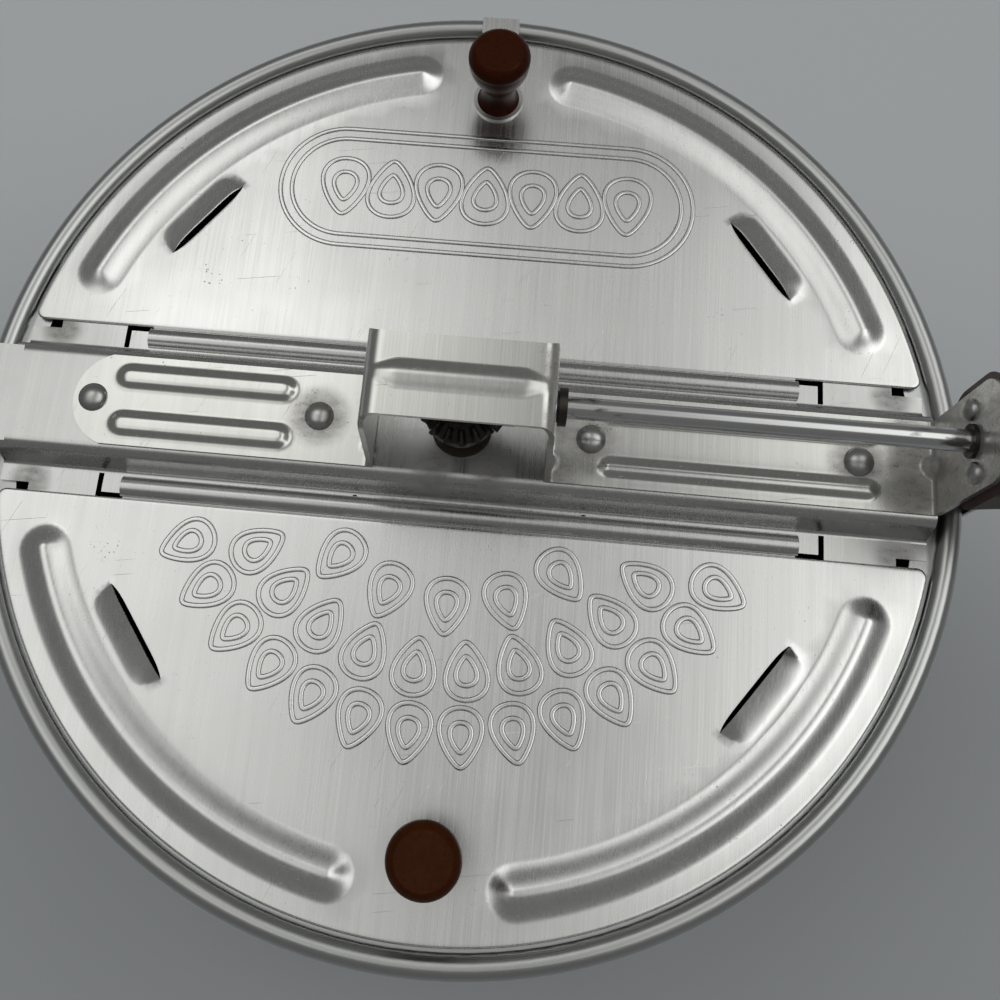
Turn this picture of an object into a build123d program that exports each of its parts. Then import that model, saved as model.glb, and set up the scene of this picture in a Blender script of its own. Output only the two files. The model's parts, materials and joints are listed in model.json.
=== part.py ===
from build123d import *
import math
import os

# A stovetop popcorn popper: a deep pan whose lid carries two hinged doors, a crank and a stirrer.
# Millimetres, +Z up, +X towards the handle. The origin is the middle of the pan's underside.

# Pan
rim_radius = 120.0            # outside of the rolled rim
rim_bead_radius = 2.8         # the rim is rolled into a tube of this radius
pan_height = 142.0            # underside to the middle of the rolled rim
shoulder_width = 4.9          # ledge inside the rim that carries the lid
pan_sheet = 1.0
pan_corner_radius = 9.0       # inside, between floor and wall
shoulder_drop = 0.8           # shoulder that carries the lid, below the middle of the rim
curl_gap = 50.0               # degrees left open where the rim's roll ends

# Lid bridge: a hat-section bar with flanges, hinge beads and a hook
bridge_sheet = 1.0
bridge_top_rise = 7.8         # top of the bar above the middle of the rim
bridge_top_width = 24.4
bridge_foot_width = 29.6      # across the side walls where they meet the flanges
bridge_bend = 2.2
flange_end_play = 3.2         # between the flanges' ends and the rolled rim
flange_end_width = 40.4       # across the narrow ends of the flanges
flange_end_length = 7.2       # narrow ends beyond the wide tabs under the doors
flange_tab_width = 48.0
slot_offset = 5.0             # slots beside the tongues, past the ends of the hinge beads
slot_width = 1.3
slot_root_width = 31.4        # across the two slots' inner ends
tongue_width = 42.0           # across the two rows of tongues
hinge_end_inset = 30.2        # hinge beads end this far inside the flanges' ends
hinge_spacing = 38.6          # between the two hinge axes
hinge_drop = 0.3              # hinge axes below the middle of the rim
hinge_bead_radius = 2.7
hinge_curl_heading = 190.0    # degrees round a hinge bead from +Y to where the flange meets it
hinge_clearance = 0.06
hook_gap = 0.4                # hook and clip stand off the rolled rim by this
hook_lip = 4.0                # how far the hook and the clip reach under the rim
vent_hole_radius = 0.7
vent_hole_places = (-24.5, 30.5)

# Doors
door_sheet = 0.6
door_play = 0.8               # between the doors and the rolled rim
door_gap = 0.1                # doors stand off the flanges by this
door_edge_clearance = 0.15
door_corner = 2.2
door_lip_inset = 14.0         # the turned-down edge starts this far behind the straight edge
door_end_play = 0.6           # along the hinge, at each end
hook_wrap = 145.0             # degrees that a door's hook wraps round its hinge bead
ridge_inset = 10.6             # middle of a ridge, inside the doors' round edge
ridge_width = 10.0
ridge_top_width = 4.5
ridge_height = 1.7
ridge_start = 20.5            # degrees from the bar to the middle of a ridge's rounded end
ridge_end = 78.5
louver_inset = 21.5           # middle of a louver, inside the doors' round edge
louver_angle = 36.7
louver_length = 26.0
louver_width = 6.0
louver_height = 2.4
louver_end_slope = 3.0
lift_tab_width = 10.0
lift_tab_reach = 1.6          # the lift tab ends this far inside the rim's outer edge
lift_tab_lip = 0.4

# Knobs of the doors
knob_inset = 18.6             # middle of a knob, inside the doors' round edge
knob_side = 1.0
knob_height = 21.6
knob_base_radius = 5.6
knob_waist_radius = 4.7
knob_waist_height = 7.5
knob_head_radius = 7.8
knob_head_height = 17.6
knob_crown_radius = 6.0
knob_bore_depth = 13.0
knob_washer_radius = 6.6
knob_washer_thickness = 0.8
knob_screw_radius = 2.0
knob_screw_head_radius = 3.8
knob_screw_head_height = 1.8
fastener_clearance = 0.05

# Gear bracket: one strip with two feet, the gear housing and the handle plate
strip_width = 22.4
strip_sheet = 1.2
strip_bend = 1.6
foot_end_inset = 17.2         # end of the left foot, inside the flanges' end
housing_width = 40.9          # over the two legs at their top
housing_height = 36.5         # top of the housing above the feet
leg_splay = 0.9               # each leg stands this much wider at its foot
plate_inset = 9.8             # inner face of the handle plate, inside the rim's outer edge
plate_height = 38.0           # above the feet
plate_corner = 8.0
foot_end_depth = 8.0          # depth of the left foot's round end
rib_height = 1.1
rib_slope = 42.0
left_rib_width = 6.2
left_rib_spacing = 11.8
left_rib_start_gap = 5.7      # between a rib's end and the middle of the rivet beside it
left_rib_end_gap = 4.5
right_rib_width = 5.2
right_rib_spacing = 13.0
right_rib_start_gap = 1.6
right_rib_end_gap = 4.8
housing_rib_inset = 1.45      # at each end of the rib on the housing
housing_rib_width = 5.4
gusset_radius = 2.2
gusset_spacing = 13.0
plate_gusset_radius = 3.4
foot_rivet_inset = 4.8        # from the left foot's end to its outer rivet
left_rivet_offset = 12.85     # from the housing's left leg to the rivet beside it
right_rivet_offset = 9.25
plate_rivet_inset = 17.2      # from the handle plate to the rivet beside it
rivet_head_radius = 3.5
rivet_head_height = 2.1
rivet_shank_radius = 1.6
rivet_tail_radius = 2.6
rivet_tail_height = 0.9

# Crank rod and its bearings
rod_radius = 2.5
rod_height = 22.5             # rod axis above the bracket's feet
running_clearance = 0.06
bush_wall = 0.9
bush_flange = 0.8             # radial reach of a bush's flange past its sleeve
bush_flange_thickness = 1.8
plate_bush_flange = 0.3
plate_bush_flange_thickness = 1.0
crank_arm = 50.0
crank_bend = 8.0
crank_pin_proud = 1.0         # the pin stands out of the grip's cap by this
rod_collar_radius = 5.0
rod_collar_length = 5.0
end_play = 0.3

# Bevel gears
gear_module = 1.2
pinion_teeth = 10
gear_teeth = 15
gear_face = 3.6
tooth_addendum = 0.78         # in modules
tooth_dedendum = 1.02
tooth_thickness = 0.39        # share of the pitch that a tooth takes up
tooth_flank = 20.0            # degrees from a tooth's middle plane
gear_web = 2.2
pinion_hub_radius = 4.6
pinion_hub_length = 6.5
gear_hub_radius = 5.0
gear_pin_radius = 0.8

# Stirrer
shaft_radius = 3.0
shaft_top_gap = 1.0           # between the shaft's top and the rod
shaft_bush_wall = 1.8
shaft_bush_flange = 2.2
shaft_bush_flange_thickness = 1.0
shaft_bush_length = 9.0       # sleeve below the bar's top
shaft_collar_radius = 6.0
shaft_collar_height = 4.0
stirrer_wire_radius = 1.3
stirrer_floor_gap = 0.6
stirrer_wire_step = 2.8       # the second wire crosses this far above the first
stirrer_wall_gap = 10.2       # between the wires' ends and the pan's wall
stirrer_tip_height = 16.0
stirrer_bend = 6.0
stirrer_hub_radius = 6.0
stirrer_hub_height = 12.4
stirrer_shaft_socket = 6.0

# Handle
handle_length = 125.0
handle_front = (27.0, 31.0)   # width and height of the handle's sections
handle_waist = (24.5, 28.0)
handle_belly = (29.0, 33.0)
handle_tail = (23.0, 26.0)
handle_waist_place = 32.0
handle_belly_place = 88.0
handle_round = 10.0
handle_end_round = 4.0
handle_bore_clearance = 0.5
handle_screw_spacing = 14.2
handle_screw_radius = 1.7
handle_screw_head_radius = 2.5
handle_screw_head_height = 1.9
handle_screw_length = 13.0
ferrule_radius = 8.5
ferrule_plate = 1.5
ferrule_sleeve = 8.0

# Crank grip
grip_length = 46.0
grip_end_radius = 7.5
grip_belly_radius = 11.5
grip_wall_gap = 0.4
grip_cap_radius = 4.6
grip_cap_thickness = 1.6

# Rim clip under the handle
clip_width = 16.0
clip_sheet = 0.8
clip_leaf_length = 26.0
clip_bend = 1.6
clip_screw_length = 8.0

# What follows from these sizes
rim_z = pan_height
bead_centre = rim_radius - rim_bead_radius
pocket_radius = rim_radius - 2 * rim_bead_radius
pan_inner_radius = pocket_radius - shoulder_width
shoulder_z = rim_z - shoulder_drop
flange_z = shoulder_z                        # underside of the flanges
flange_top = flange_z + bridge_sheet
flange_length = 2 * (pocket_radius - flange_end_play)
flange_tab_length = flange_length - 2 * flange_end_length
hinge_length = flange_length - 2 * hinge_end_inset
slot_inner = hinge_length / 2 + slot_offset
bar_top = rim_z + bridge_top_rise
hinge_z = rim_z - hinge_drop
door_z = flange_top + door_gap               # underside of the doors
door_top = door_z + door_sheet
door_radius = pocket_radius - door_play
door_edge = hinge_spacing / 2 + hinge_bead_radius + door_edge_clearance
ridge_radius = door_radius - ridge_inset
louver_radius = door_radius - louver_inset
knob_offset = door_radius - knob_inset
foot_top = bar_top + strip_sheet
rod_z = foot_top + rod_height
housing_top = foot_top + housing_height
leg_foot = housing_width / 2 + leg_splay     # outside of each leg where it meets its foot
foot_left_end = flange_length / 2 - foot_end_inset
plate_place = rim_radius - plate_inset
housing_rib_length = housing_width - 2 * housing_rib_inset
outer_left_rivet = foot_rivet_inset - foot_left_end
inner_left_rivet = -leg_foot - left_rivet_offset
inner_right_rivet = leg_foot + right_rivet_offset
outer_right_rivet = plate_place - plate_rivet_inset
rivet_places = (outer_left_rivet, inner_left_rivet, inner_right_rivet, outer_right_rivet)
pinion_pitch_radius = gear_module * pinion_teeth / 2
gear_pitch_radius = gear_module * gear_teeth / 2
cone_length = math.hypot(pinion_pitch_radius, gear_pitch_radius)
handle_start = plate_place + strip_sheet
handle_end = handle_start + handle_length
ferrule_end = handle_end + ferrule_plate
rod_bore = rod_radius + running_clearance
bush_radius = rod_bore + bush_wall
shaft_bore = shaft_radius + running_clearance
shaft_bush_radius = shaft_bore + shaft_bush_wall
pan_floor = pan_sheet
stirrer_wire_z = pan_floor + stirrer_floor_gap + stirrer_wire_radius
stirrer_hub_z = pan_floor + stirrer_floor_gap
stirrer_reach = pan_inner_radius - stirrer_wall_gap - stirrer_wire_radius
shaft_bottom = stirrer_hub_z + stirrer_hub_height - stirrer_shaft_socket
shaft_bush_top = bar_top + shaft_bush_flange_thickness
collar_x = ferrule_end + end_play
crank_x = collar_x + rod_collar_length + crank_bend
crank_pin_z = rod_z - crank_arm
grip_start = crank_x + crank_bend + grip_wall_gap
grip_end = grip_start + grip_length
cap_start = grip_end + grip_wall_gap
cap_end = cap_start + grip_cap_thickness


def block(low, high):
    """Box between two corners."""
    size = [b - a for a, b in zip(low, high)]
    middle = [(a + b) / 2 for a, b in zip(low, high)]
    return Pos(*middle) * Box(*size)


def post(radius, low, high):
    """Upright cylinder between two heights."""
    return Pos(0, 0, low) * extrude(Circle(radius), high - low)


def along_x(shape):
    """Turn a shape built along +Z so that it lies along +X."""
    return Rot(0, 90, 0) * shape


def turned(*outline):
    """Solid of revolution about Z of a closed outline drawn as lines in radius and height."""
    return revolve(Plane.XZ * make_face(outline), Axis.Z)


def turned_polygon(*points):
    """Solid of revolution about Z of a polygon in radius and height."""
    return revolve(Plane.XZ * Polygon(*points, align=None), Axis.Z)


def arc_band(inner, outer, start, sweep):
    """Flat ring sector about the origin."""
    arcs = [CenterArc((0, 0), radius, start, sweep) for radius in (inner, outer)]
    ends = [Line(arcs[0] @ end, arcs[1] @ end) for end in (0, 1)]
    return make_face(arcs + ends)


def bent_sheet(points, bend, thickness):
    """Section of a sheet bent along a line of points, its thickness to the left of the line."""
    with BuildSketch() as section:
        with BuildLine():
            FilletPolyline(*points, radius=bend)
            offset(amount=thickness, side=Side.LEFT)
        make_face()
    return section.sketch


def dome(radius, height):
    """Spherical cap that stands on the XY plane."""
    ball = (radius ** 2 + height ** 2) / (2 * height)
    return Pos(0, 0, height - ball) * Sphere(ball) & post(radius + height, 0, height)


def flanged_bush(bore, wall, flange_reach, flange_thickness, sleeve):
    """Bush along +Z: its flange lies on the XY plane and its sleeve goes below it."""
    sleeve_radius = bore + wall
    body = post(sleeve_radius, -sleeve, 0) + post(sleeve_radius + flange_reach, 0, flange_thickness)
    return body - post(bore, -sleeve, flange_thickness)


def pressed(sheet, form, thickness):
    """Press a raised form into a sheet that keeps its thickness."""
    return sheet + form - Pos(0, 0, -thickness) * form


# --- pan ---------------------------------------------------------------------------------------
def make_pan():
    inner, outer = pan_inner_radius, pan_inner_radius + pan_sheet
    floor_corner = pan_inner_radius - pan_corner_radius
    corner_z = pan_floor + pan_corner_radius
    shoulder_under = shoulder_z - pan_sheet
    inside_corner = CenterArc((floor_corner, corner_z), pan_corner_radius, -90, 90)
    outside_corner = CenterArc((floor_corner, corner_z), pan_corner_radius + pan_sheet, -90, 90)
    wall = turned(
        Line((0, pan_floor), inside_corner @ 0), inside_corner,
        Line(inside_corner @ 1, (inner, shoulder_z)), Line((inner, shoulder_z), (outer, shoulder_z)),
        Line((outer, shoulder_z), outside_corner @ 1), outside_corner,
        Line(outside_corner @ 0, (0, 0)), Line((0, 0), (0, pan_floor)))
    upstand = pocket_radius + pan_sheet
    shoulder = turned_polygon((inner, shoulder_under), (upstand, shoulder_under), (upstand, rim_z),
                              (pocket_radius, rim_z), (pocket_radius, shoulder_z),
                              (inner, shoulder_z))
    curl = arc_band(rim_bead_radius - pan_sheet, rim_bead_radius, 180, curl_gap - 360)
    bead = revolve(Plane.XZ * Pos(bead_centre, rim_z) * curl, Axis.Z)
    return wall + shoulder + bead


# --- lid bridge --------------------------------------------------------------------------------
def hinge_beads():
    """Both edges of the bar, curled into the beads that the doors hook onto."""
    curl_start = hinge_curl_heading + curl_gap
    ring = arc_band(hinge_bead_radius - bridge_sheet, hinge_bead_radius, curl_start, 360 - curl_gap)
    tube = extrude(Plane.YZ * ring, hinge_length / 2, both=True)
    back = Pos(0, hinge_spacing / 2, hinge_z) * tube
    return back + mirror(back, about=Plane.XZ)


def flange_cuts():
    """What the flanges leave open: beside the beads, past the tongues, the slots and the ends."""
    neck_width = hinge_spacing - 2 * hinge_bead_radius + bridge_sheet
    cuts = []
    for x_low, x_high, width in (
            (0, hinge_length / 2, neck_width), (hinge_length / 2, slot_inner, tongue_width),
            (slot_inner, slot_inner + slot_width, slot_root_width),
            (flange_tab_length / 2, flange_length / 2, flange_end_width)):
        for side in (-1, 1):
            for row in (-1, 1):
                near = (side * x_low, row * width / 2, flange_z)
                far = (side * x_high, row * flange_tab_width / 2, flange_top)
                cuts.append(block(*zip(*(sorted(pair) for pair in zip(near, far)))))
    return cuts


def lid_hook():
    """End of the bar's top that goes over the rolled rim and turns in under it."""
    hook_x = rim_radius + hook_gap
    sheet_top = bar_top - bridge_sheet
    lip_top = rim_z - rim_bead_radius - hook_gap
    line = [(hook_lip - hook_x, lip_top), (-hook_x, lip_top), (-hook_x, sheet_top),
            (bridge_bend - flange_length / 2, sheet_top)]
    face = bent_sheet(line, bridge_bend / 2, bridge_sheet)
    return extrude(Plane.XZ * face, bridge_top_width / 2, both=True)


def make_bridge():
    half_top, half_foot, half_flange = bridge_top_width / 2, bridge_foot_width / 2, flange_tab_width / 2
    sheet_top = bar_top - bridge_sheet
    section = bent_sheet([(-half_flange, flange_z), (-half_foot, flange_z), (-half_top, sheet_top),
                          (half_top, sheet_top), (half_foot, flange_z), (half_flange, flange_z)],
                         bridge_bend, bridge_sheet)
    body = extrude(Plane.YZ * section, flange_length / 2, both=True)
    for cut in flange_cuts():
        body -= cut
    body += hinge_beads() + lid_hook()
    body -= post(shaft_bush_radius + fastener_clearance, flange_z, bar_top)
    for x in rivet_places:
        body -= Pos(x, 0) * post(rivet_shank_radius + fastener_clearance, flange_top, bar_top)
    for x in vent_hole_places:
        hole = post(vent_hole_radius, flange_z, flange_top)
        body -= Pos(x, -(half_foot + bridge_bend)) * hole
    return body


# --- gear bracket ------------------------------------------------------------------------------
def foot_rib(start, end, width):
    """Long raised rib along X between two places."""
    rib = extrude(SlotOverall(end - start, width), rib_height, taper=rib_slope)
    return Pos((start + end) / 2, 0, 0) * rib


def make_bracket():
    half = housing_width / 2
    inner = half - strip_sheet
    under = housing_top - strip_sheet
    strip_line = [(-foot_left_end, bar_top), (-inner - leg_splay, bar_top), (-inner, under),
                  (inner, under), (inner + leg_splay, bar_top),
                  (plate_place + strip_sheet, bar_top),
                  (plate_place + strip_sheet, foot_top + plate_height)]
    section = bent_sheet(strip_line, strip_bend, strip_sheet)
    strip = extrude(Plane.XZ * section, strip_width / 2, both=True)
    strip -= Pos(-foot_left_end, 0, bar_top) * extrude(round_end_corners(), strip_sheet)
    plate_top = Plane.YZ * Pos(0, foot_top + plate_height) * Rot(0, 0, 180) * plate_corners()
    strip -= Pos(plate_place, 0, 0) * extrude(plate_top, strip_sheet)
    for row in (-1, 1):
        for start, end, spacing, width in (
                (outer_left_rivet + left_rib_end_gap, inner_left_rivet - left_rib_start_gap,
                 left_rib_spacing, left_rib_width),
                (inner_right_rivet + right_rib_start_gap, outer_right_rivet + right_rib_end_gap,
                 right_rib_spacing, right_rib_width)):
            rib = Pos(0, row * spacing / 2, foot_top) * foot_rib(start, end, width)
            strip = pressed(strip, rib, strip_sheet)
        for side in (-1, 1):
            place = Pos(side * leg_foot, row * gusset_spacing / 2, foot_top)
            strip += place * Sphere(gusset_radius) & above_bar()
    strip += Pos(plate_place, 0, foot_top) * Sphere(plate_gusset_radius) & inside_plate()
    crown = Pos(0, 0, housing_top) * foot_rib(-housing_rib_length / 2, housing_rib_length / 2,
                                              housing_rib_width)
    strip = pressed(strip, crown, strip_sheet)
    for x in rivet_places:
        strip -= Pos(x, 0) * post(rivet_shank_radius + fastener_clearance, bar_top, foot_top)
    far = plate_place + strip_sheet
    strip -= Pos(-far, 0, rod_z) * along_x(post(rod_bore, 0, far))
    strip -= Pos(0, 0, rod_z) * along_x(post(bush_radius + fastener_clearance, 0, far))
    for row in (-1, 1):
        screw_hole = along_x(post(handle_screw_radius + fastener_clearance, 0, far))
        strip -= Pos(plate_place - strip_sheet, row * handle_screw_spacing / 2, rod_z) * screw_hole
    return strip


def above_bar():
    return block((-rim_radius, -strip_width, bar_top), (rim_radius, strip_width, housing_top))


def inside_plate():
    """Space above the bar, up to the middle of the handle plate's sheet."""
    return block((0, -strip_width, bar_top), (plate_place + strip_sheet / 2, strip_width, housing_top))


def round_end_corners():
    """Two corners to cut from the strip's round end, which points to -X from the origin."""
    radius = (strip_width ** 2 / 4 + foot_end_depth ** 2) / (2 * foot_end_depth)
    whole = Pos(foot_end_depth / 2, 0) * Rectangle(foot_end_depth, strip_width)
    return whole - Pos(radius, 0) * Circle(radius)


def plate_corners():
    """Two rounded corners to cut from the plate's top edge, with its middle at the origin."""
    half = strip_width / 2
    whole = Pos(0, plate_corner / 2) * Rectangle(strip_width, plate_corner)
    rounded = Pos(0, plate_height / 2) * RectangleRounded(strip_width, plate_height, plate_corner)
    return whole - rounded


def make_rivets():
    """Four dome rivets through the bracket's feet and the bar."""
    grip = strip_sheet + bridge_sheet
    rivet = dome(rivet_head_radius, rivet_head_height) + post(rivet_shank_radius, -grip, 0)
    rivet += post(rivet_tail_radius, -grip - rivet_tail_height, -grip)
    return [Pos(x, 0, foot_top) * rivet for x in rivet_places]


# --- doors -------------------------------------------------------------------------------------
def ridge_form():
    """Raised band along the back door's edge, on its +X half."""
    low, high = ridge_width / 2, ridge_top_width / 2
    profile = Polygon((ridge_radius - low, door_top), (ridge_radius + low, door_top),
                      (ridge_radius + high, door_top + ridge_height),
                      (ridge_radius - high, door_top + ridge_height), align=None)
    band = revolve(Plane.XZ * profile, Axis.Z, ridge_end - ridge_start)
    end = Pos(ridge_radius, 0, door_top + ridge_height / 2) * Cone(low, high, ridge_height)
    return Rot(0, 0, ridge_start) * (band + end) + Rot(0, 0, ridge_end) * end


def louver_form():
    """Scoop whose tall open side faces the lid's middle, on the back door's +X half."""
    half = louver_length / 2
    section = Polygon((0, 0), (louver_width, 0), (0, louver_height), align=None)
    wedge = extrude(Plane.XZ * section, half, both=True)
    side = Polygon((-half, 0), (half, 0), (half - louver_end_slope, louver_height),
                   (louver_end_slope - half, louver_height), align=None)
    ends = extrude(Plane.YZ * side, louver_width)
    return wedge & ends


def put_louver(shape, inward):
    turn = Rot(0, 0, louver_angle)
    return turn * Pos(louver_radius - louver_width / 2 - inward, 0, door_top) * shape


def door_blank():
    outline = Circle(door_radius) & Pos(0, door_edge + door_radius) * Rectangle(
        2 * door_radius, 2 * door_radius)
    return fillet(outline.vertices(), door_corner)


def make_door(side, lift_tab):
    """One half-round door as it lies shut; side is +1 for the back door and -1 for the front."""
    sheet = Pos(0, 0, door_z) * extrude(door_blank(), door_sheet)
    lip_start = door_edge + door_lip_inset
    lip = post(door_radius, shoulder_z + door_gap, door_z) - post(
        door_radius - door_sheet, shoulder_z + door_gap, door_z)
    sheet += lip & block((-rim_radius, lip_start, 0), (rim_radius, rim_radius, rim_z + 1))
    half = [ridge_form(), put_louver(louver_form(), 0)]
    hollow = [Pos(0, 0, -door_sheet) * half[0],
              Pos(0, 0, -door_sheet) * put_louver(louver_form(), door_sheet)]
    for form in half:
        sheet += form + mirror(form, about=Plane.YZ)
    for form in hollow:
        sheet = sheet - form - mirror(form, about=Plane.YZ)
    hook_inner = hinge_bead_radius + hinge_clearance
    start = math.degrees(math.asin((door_top - hinge_z) / (hook_inner + door_sheet)))
    band = arc_band(hook_inner, hook_inner + door_sheet, start, -hook_wrap - start)
    hook = extrude(Plane.YZ * band, hinge_length / 2 - door_end_play, both=True)
    sheet += Pos(0, hinge_spacing / 2, hinge_z) * hook
    if lift_tab:
        sheet += make_lift_tab()
    sheet -= Pos(knob_side, knob_offset) * post(
        knob_screw_radius + fastener_clearance, door_z, door_top)
    return sheet if side > 0 else mirror(sheet, about=Plane.XZ)


def make_lift_tab():
    """Small tab of the back door that steps up over the rolled rim."""
    over_rim = rim_z + rim_bead_radius + door_gap
    start = door_radius - 2 * door_sheet
    end = rim_radius - lift_tab_reach
    line = [(start, door_z), (door_radius, door_z), (door_radius + door_sheet, over_rim),
            (end, over_rim), (end + door_sheet, over_rim - lift_tab_lip)]
    face = bent_sheet(line, door_sheet / 2, door_sheet)
    return extrude(Plane.YZ * face, lift_tab_width / 2, both=True)


# --- knobs -------------------------------------------------------------------------------------
def make_knob():
    """Turned wooden knob, standing on the XY plane."""
    side = Spline((knob_base_radius, 0), (knob_waist_radius, knob_waist_height),
                  (knob_head_radius, knob_head_height), tangents=[(-0.6, 1), (0, 1)])
    crown = ThreePointArc((knob_head_radius, knob_head_height),
                          ((knob_head_radius + knob_crown_radius) / 2 + 0.6,
                           (knob_head_height + knob_height) / 2 + 0.5),
                          (knob_crown_radius, knob_height))
    body = turned(side, crown, Line((knob_crown_radius, knob_height), (0, knob_height)),
                  Line((0, knob_height), (0, 0)), Line((0, 0), (knob_base_radius, 0)))
    return body - post(knob_screw_radius + fastener_clearance, 0, knob_bore_depth)


def knob_place(side):
    return Pos(knob_side, side * knob_offset, door_top)


def make_knob_screw():
    """Pan-head screw from below the door, with the door's top on the XY plane."""
    length = knob_bore_depth + knob_washer_thickness - 1.0
    head = Pos(0, 0, -door_sheet) * Rot(180, 0, 0) * dome(
        knob_screw_head_radius, knob_screw_head_height)
    return head + post(knob_screw_radius, -door_sheet, length)


def make_knob_washer():
    hole = knob_screw_radius + fastener_clearance
    return post(knob_washer_radius, 0, knob_washer_thickness) - post(hole, 0, knob_washer_thickness)


# --- gears -------------------------------------------------------------------------------------
def cone_point(share, height, pitch_radius, mate_radius):
    """Radius and height of a point: share of the cone's length, height off the pitch cone."""
    lean = math.atan2(pitch_radius, mate_radius)
    along = share * cone_length
    rise = height * share
    return (along * math.sin(lean) + rise * math.cos(lean),
            rise * math.sin(lean) - along * math.cos(lean))


def bevel_tooth(pitch_radius, mate_radius):
    """One tooth on the +X side of a bevel gear whose axis is Z and whose apex is the origin."""
    half_pitch = tooth_thickness * math.pi * gear_module / 2
    flank = math.tan(math.radians(tooth_flank))
    top, root = tooth_addendum * gear_module, -tooth_dedendum * gear_module
    faces = []
    for share in (1, 1 - gear_face / cone_length):
        corners = []
        for height, hand in ((root, -1), (top, -1), (top, 1), (root, 1)):
            r, z = cone_point(share, height, pitch_radius, mate_radius)
            corners.append((r, hand * share * (half_pitch - height * flank), z))
        faces.append(Face(Wire.make_polygon(corners, close=True)))
    return loft(faces, ruled=True)


def bevel_gear(teeth, pitch_radius, mate_radius, hub_radius, hub_end, bore, first):
    """Bevel gear below its apex at the origin, with its hub down to hub_end."""
    inner_share = 1 - gear_face / cone_length
    root = -tooth_dedendum * gear_module * 0.8
    outer = cone_point(1, root, pitch_radius, mate_radius)
    inner = cone_point(inner_share, root, pitch_radius, mate_radius)
    back = outer[1] - gear_web
    blank = turned_polygon((0, inner[1]), inner, outer, (outer[0], back), (hub_radius, hub_end),
                           (0, hub_end))
    tooth = bevel_tooth(pitch_radius, mate_radius)
    for number in range(teeth):
        blank += Rot(0, 0, first + 360 / teeth * number) * tooth
    return blank - post(bore, hub_end, 0)


def make_driven_gear():
    """Gear on the upright shaft; a gap between two teeth faces +X."""
    hub_end = shaft_bush_top + door_gap - rod_z
    gear = bevel_gear(gear_teeth, gear_pitch_radius, pinion_pitch_radius, gear_hub_radius, hub_end,
                      shaft_radius + fastener_clearance, 180 / gear_teeth)
    hole = Pos(0, 0, gear_pin_z()) * Rot(90, 0, 0) * post(
        gear_pin_radius + fastener_clearance, -rim_radius, rim_radius)
    return Pos(0, 0, rod_z) * gear - hole


def make_pinion():
    """Pinion on the crank rod; one tooth points down into the driven gear."""
    hub_end = -(gear_pitch_radius + pinion_hub_length)
    gear = bevel_gear(pinion_teeth, pinion_pitch_radius, gear_pitch_radius, pinion_hub_radius,
                      hub_end, rod_radius + fastener_clearance, 0)
    lying = Pos(0, 0, rod_z) * Rot(0, -90, 0) * gear
    hole = Pos(pinion_pin_x(), 0, 0) * post(gear_pin_radius + fastener_clearance, 0, 2 * rod_z)
    return lying - hole


def gear_pin_z():
    return shaft_bush_top + gear_hub_radius / 2 + gear_pin_radius


def pinion_pin_x():
    return gear_pitch_radius + pinion_hub_length - 2 * gear_pin_radius


def cross_pin(hub_radius):
    """Pin through a hub and its shaft, along Z about the origin."""
    return post(gear_pin_radius, -hub_radius, hub_radius)


# --- crank -------------------------------------------------------------------------------------
def make_rod():
    """Rod, crank arm and pin, bent from one piece."""
    pin_end = cap_end + crank_pin_proud
    path = FilletPolyline((-leg_foot, 0, rod_z), (crank_x, 0, rod_z),
                          (crank_x, 0, crank_pin_z), (pin_end, 0, crank_pin_z), radius=crank_bend)
    rod = sweep(Plane(origin=path @ 0, z_dir=path % 0) * Circle(rod_radius), path=path)
    pin_hole = gear_pin_radius + fastener_clearance
    rod -= Pos(pinion_pin_x(), 0, 0) * post(pin_hole, 0, 2 * rod_z)
    return rod


def tube_along_x(outer, inner, start, end, height):
    tube = post(outer, 0, end - start) - post(inner, 0, end - start)
    return Pos(start, 0, height) * along_x(tube)


def make_crank_grip():
    side = Spline((grip_end_radius, 0), (grip_belly_radius, grip_length / 2),
                  (grip_end_radius, grip_length), tangents=[(0.3, 1), (-0.3, 1)])
    body = turned(side, Line((grip_end_radius, grip_length), (0, grip_length)),
                  Line((0, grip_length), (0, 0)), Line((0, 0), (grip_end_radius, 0)))
    body -= post(rod_bore, 0, grip_length)
    return Pos(grip_start, 0, crank_pin_z) * along_x(body)


# --- stirrer -----------------------------------------------------------------------------------
def make_shaft():
    shaft_top = rod_z - rod_radius - shaft_top_gap
    shaft = post(shaft_radius, shaft_bottom, shaft_top)
    return shaft - Pos(0, 0, gear_pin_z()) * Rot(90, 0, 0) * post(
        gear_pin_radius + fastener_clearance, -rim_radius, rim_radius)


def make_stirrer_wire(step):
    """Wire with both ends bent up, along X, at its own level in the hub."""
    level = stirrer_wire_z + step
    tip = stirrer_wire_z + stirrer_tip_height
    path = FilletPolyline((-stirrer_reach, 0, tip), (-stirrer_reach, 0, level),
                          (stirrer_reach, 0, level), (stirrer_reach, 0, tip), radius=stirrer_bend)
    return sweep(Plane(origin=path @ 0, z_dir=path % 0) * Circle(stirrer_wire_radius), path=path)


def make_stirrer_hub():
    hub = post(stirrer_hub_radius, stirrer_hub_z, stirrer_hub_z + stirrer_hub_height)
    hub -= post(shaft_radius + fastener_clearance, shaft_bottom, stirrer_hub_z + stirrer_hub_height)
    for step, turn in ((0, 0), (stirrer_wire_step, 90)):
        bore = along_x(post(stirrer_wire_radius + fastener_clearance, -rim_radius, rim_radius))
        hub -= Rot(0, 0, turn) * Pos(0, 0, stirrer_wire_z + step) * bore
    return hub


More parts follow.
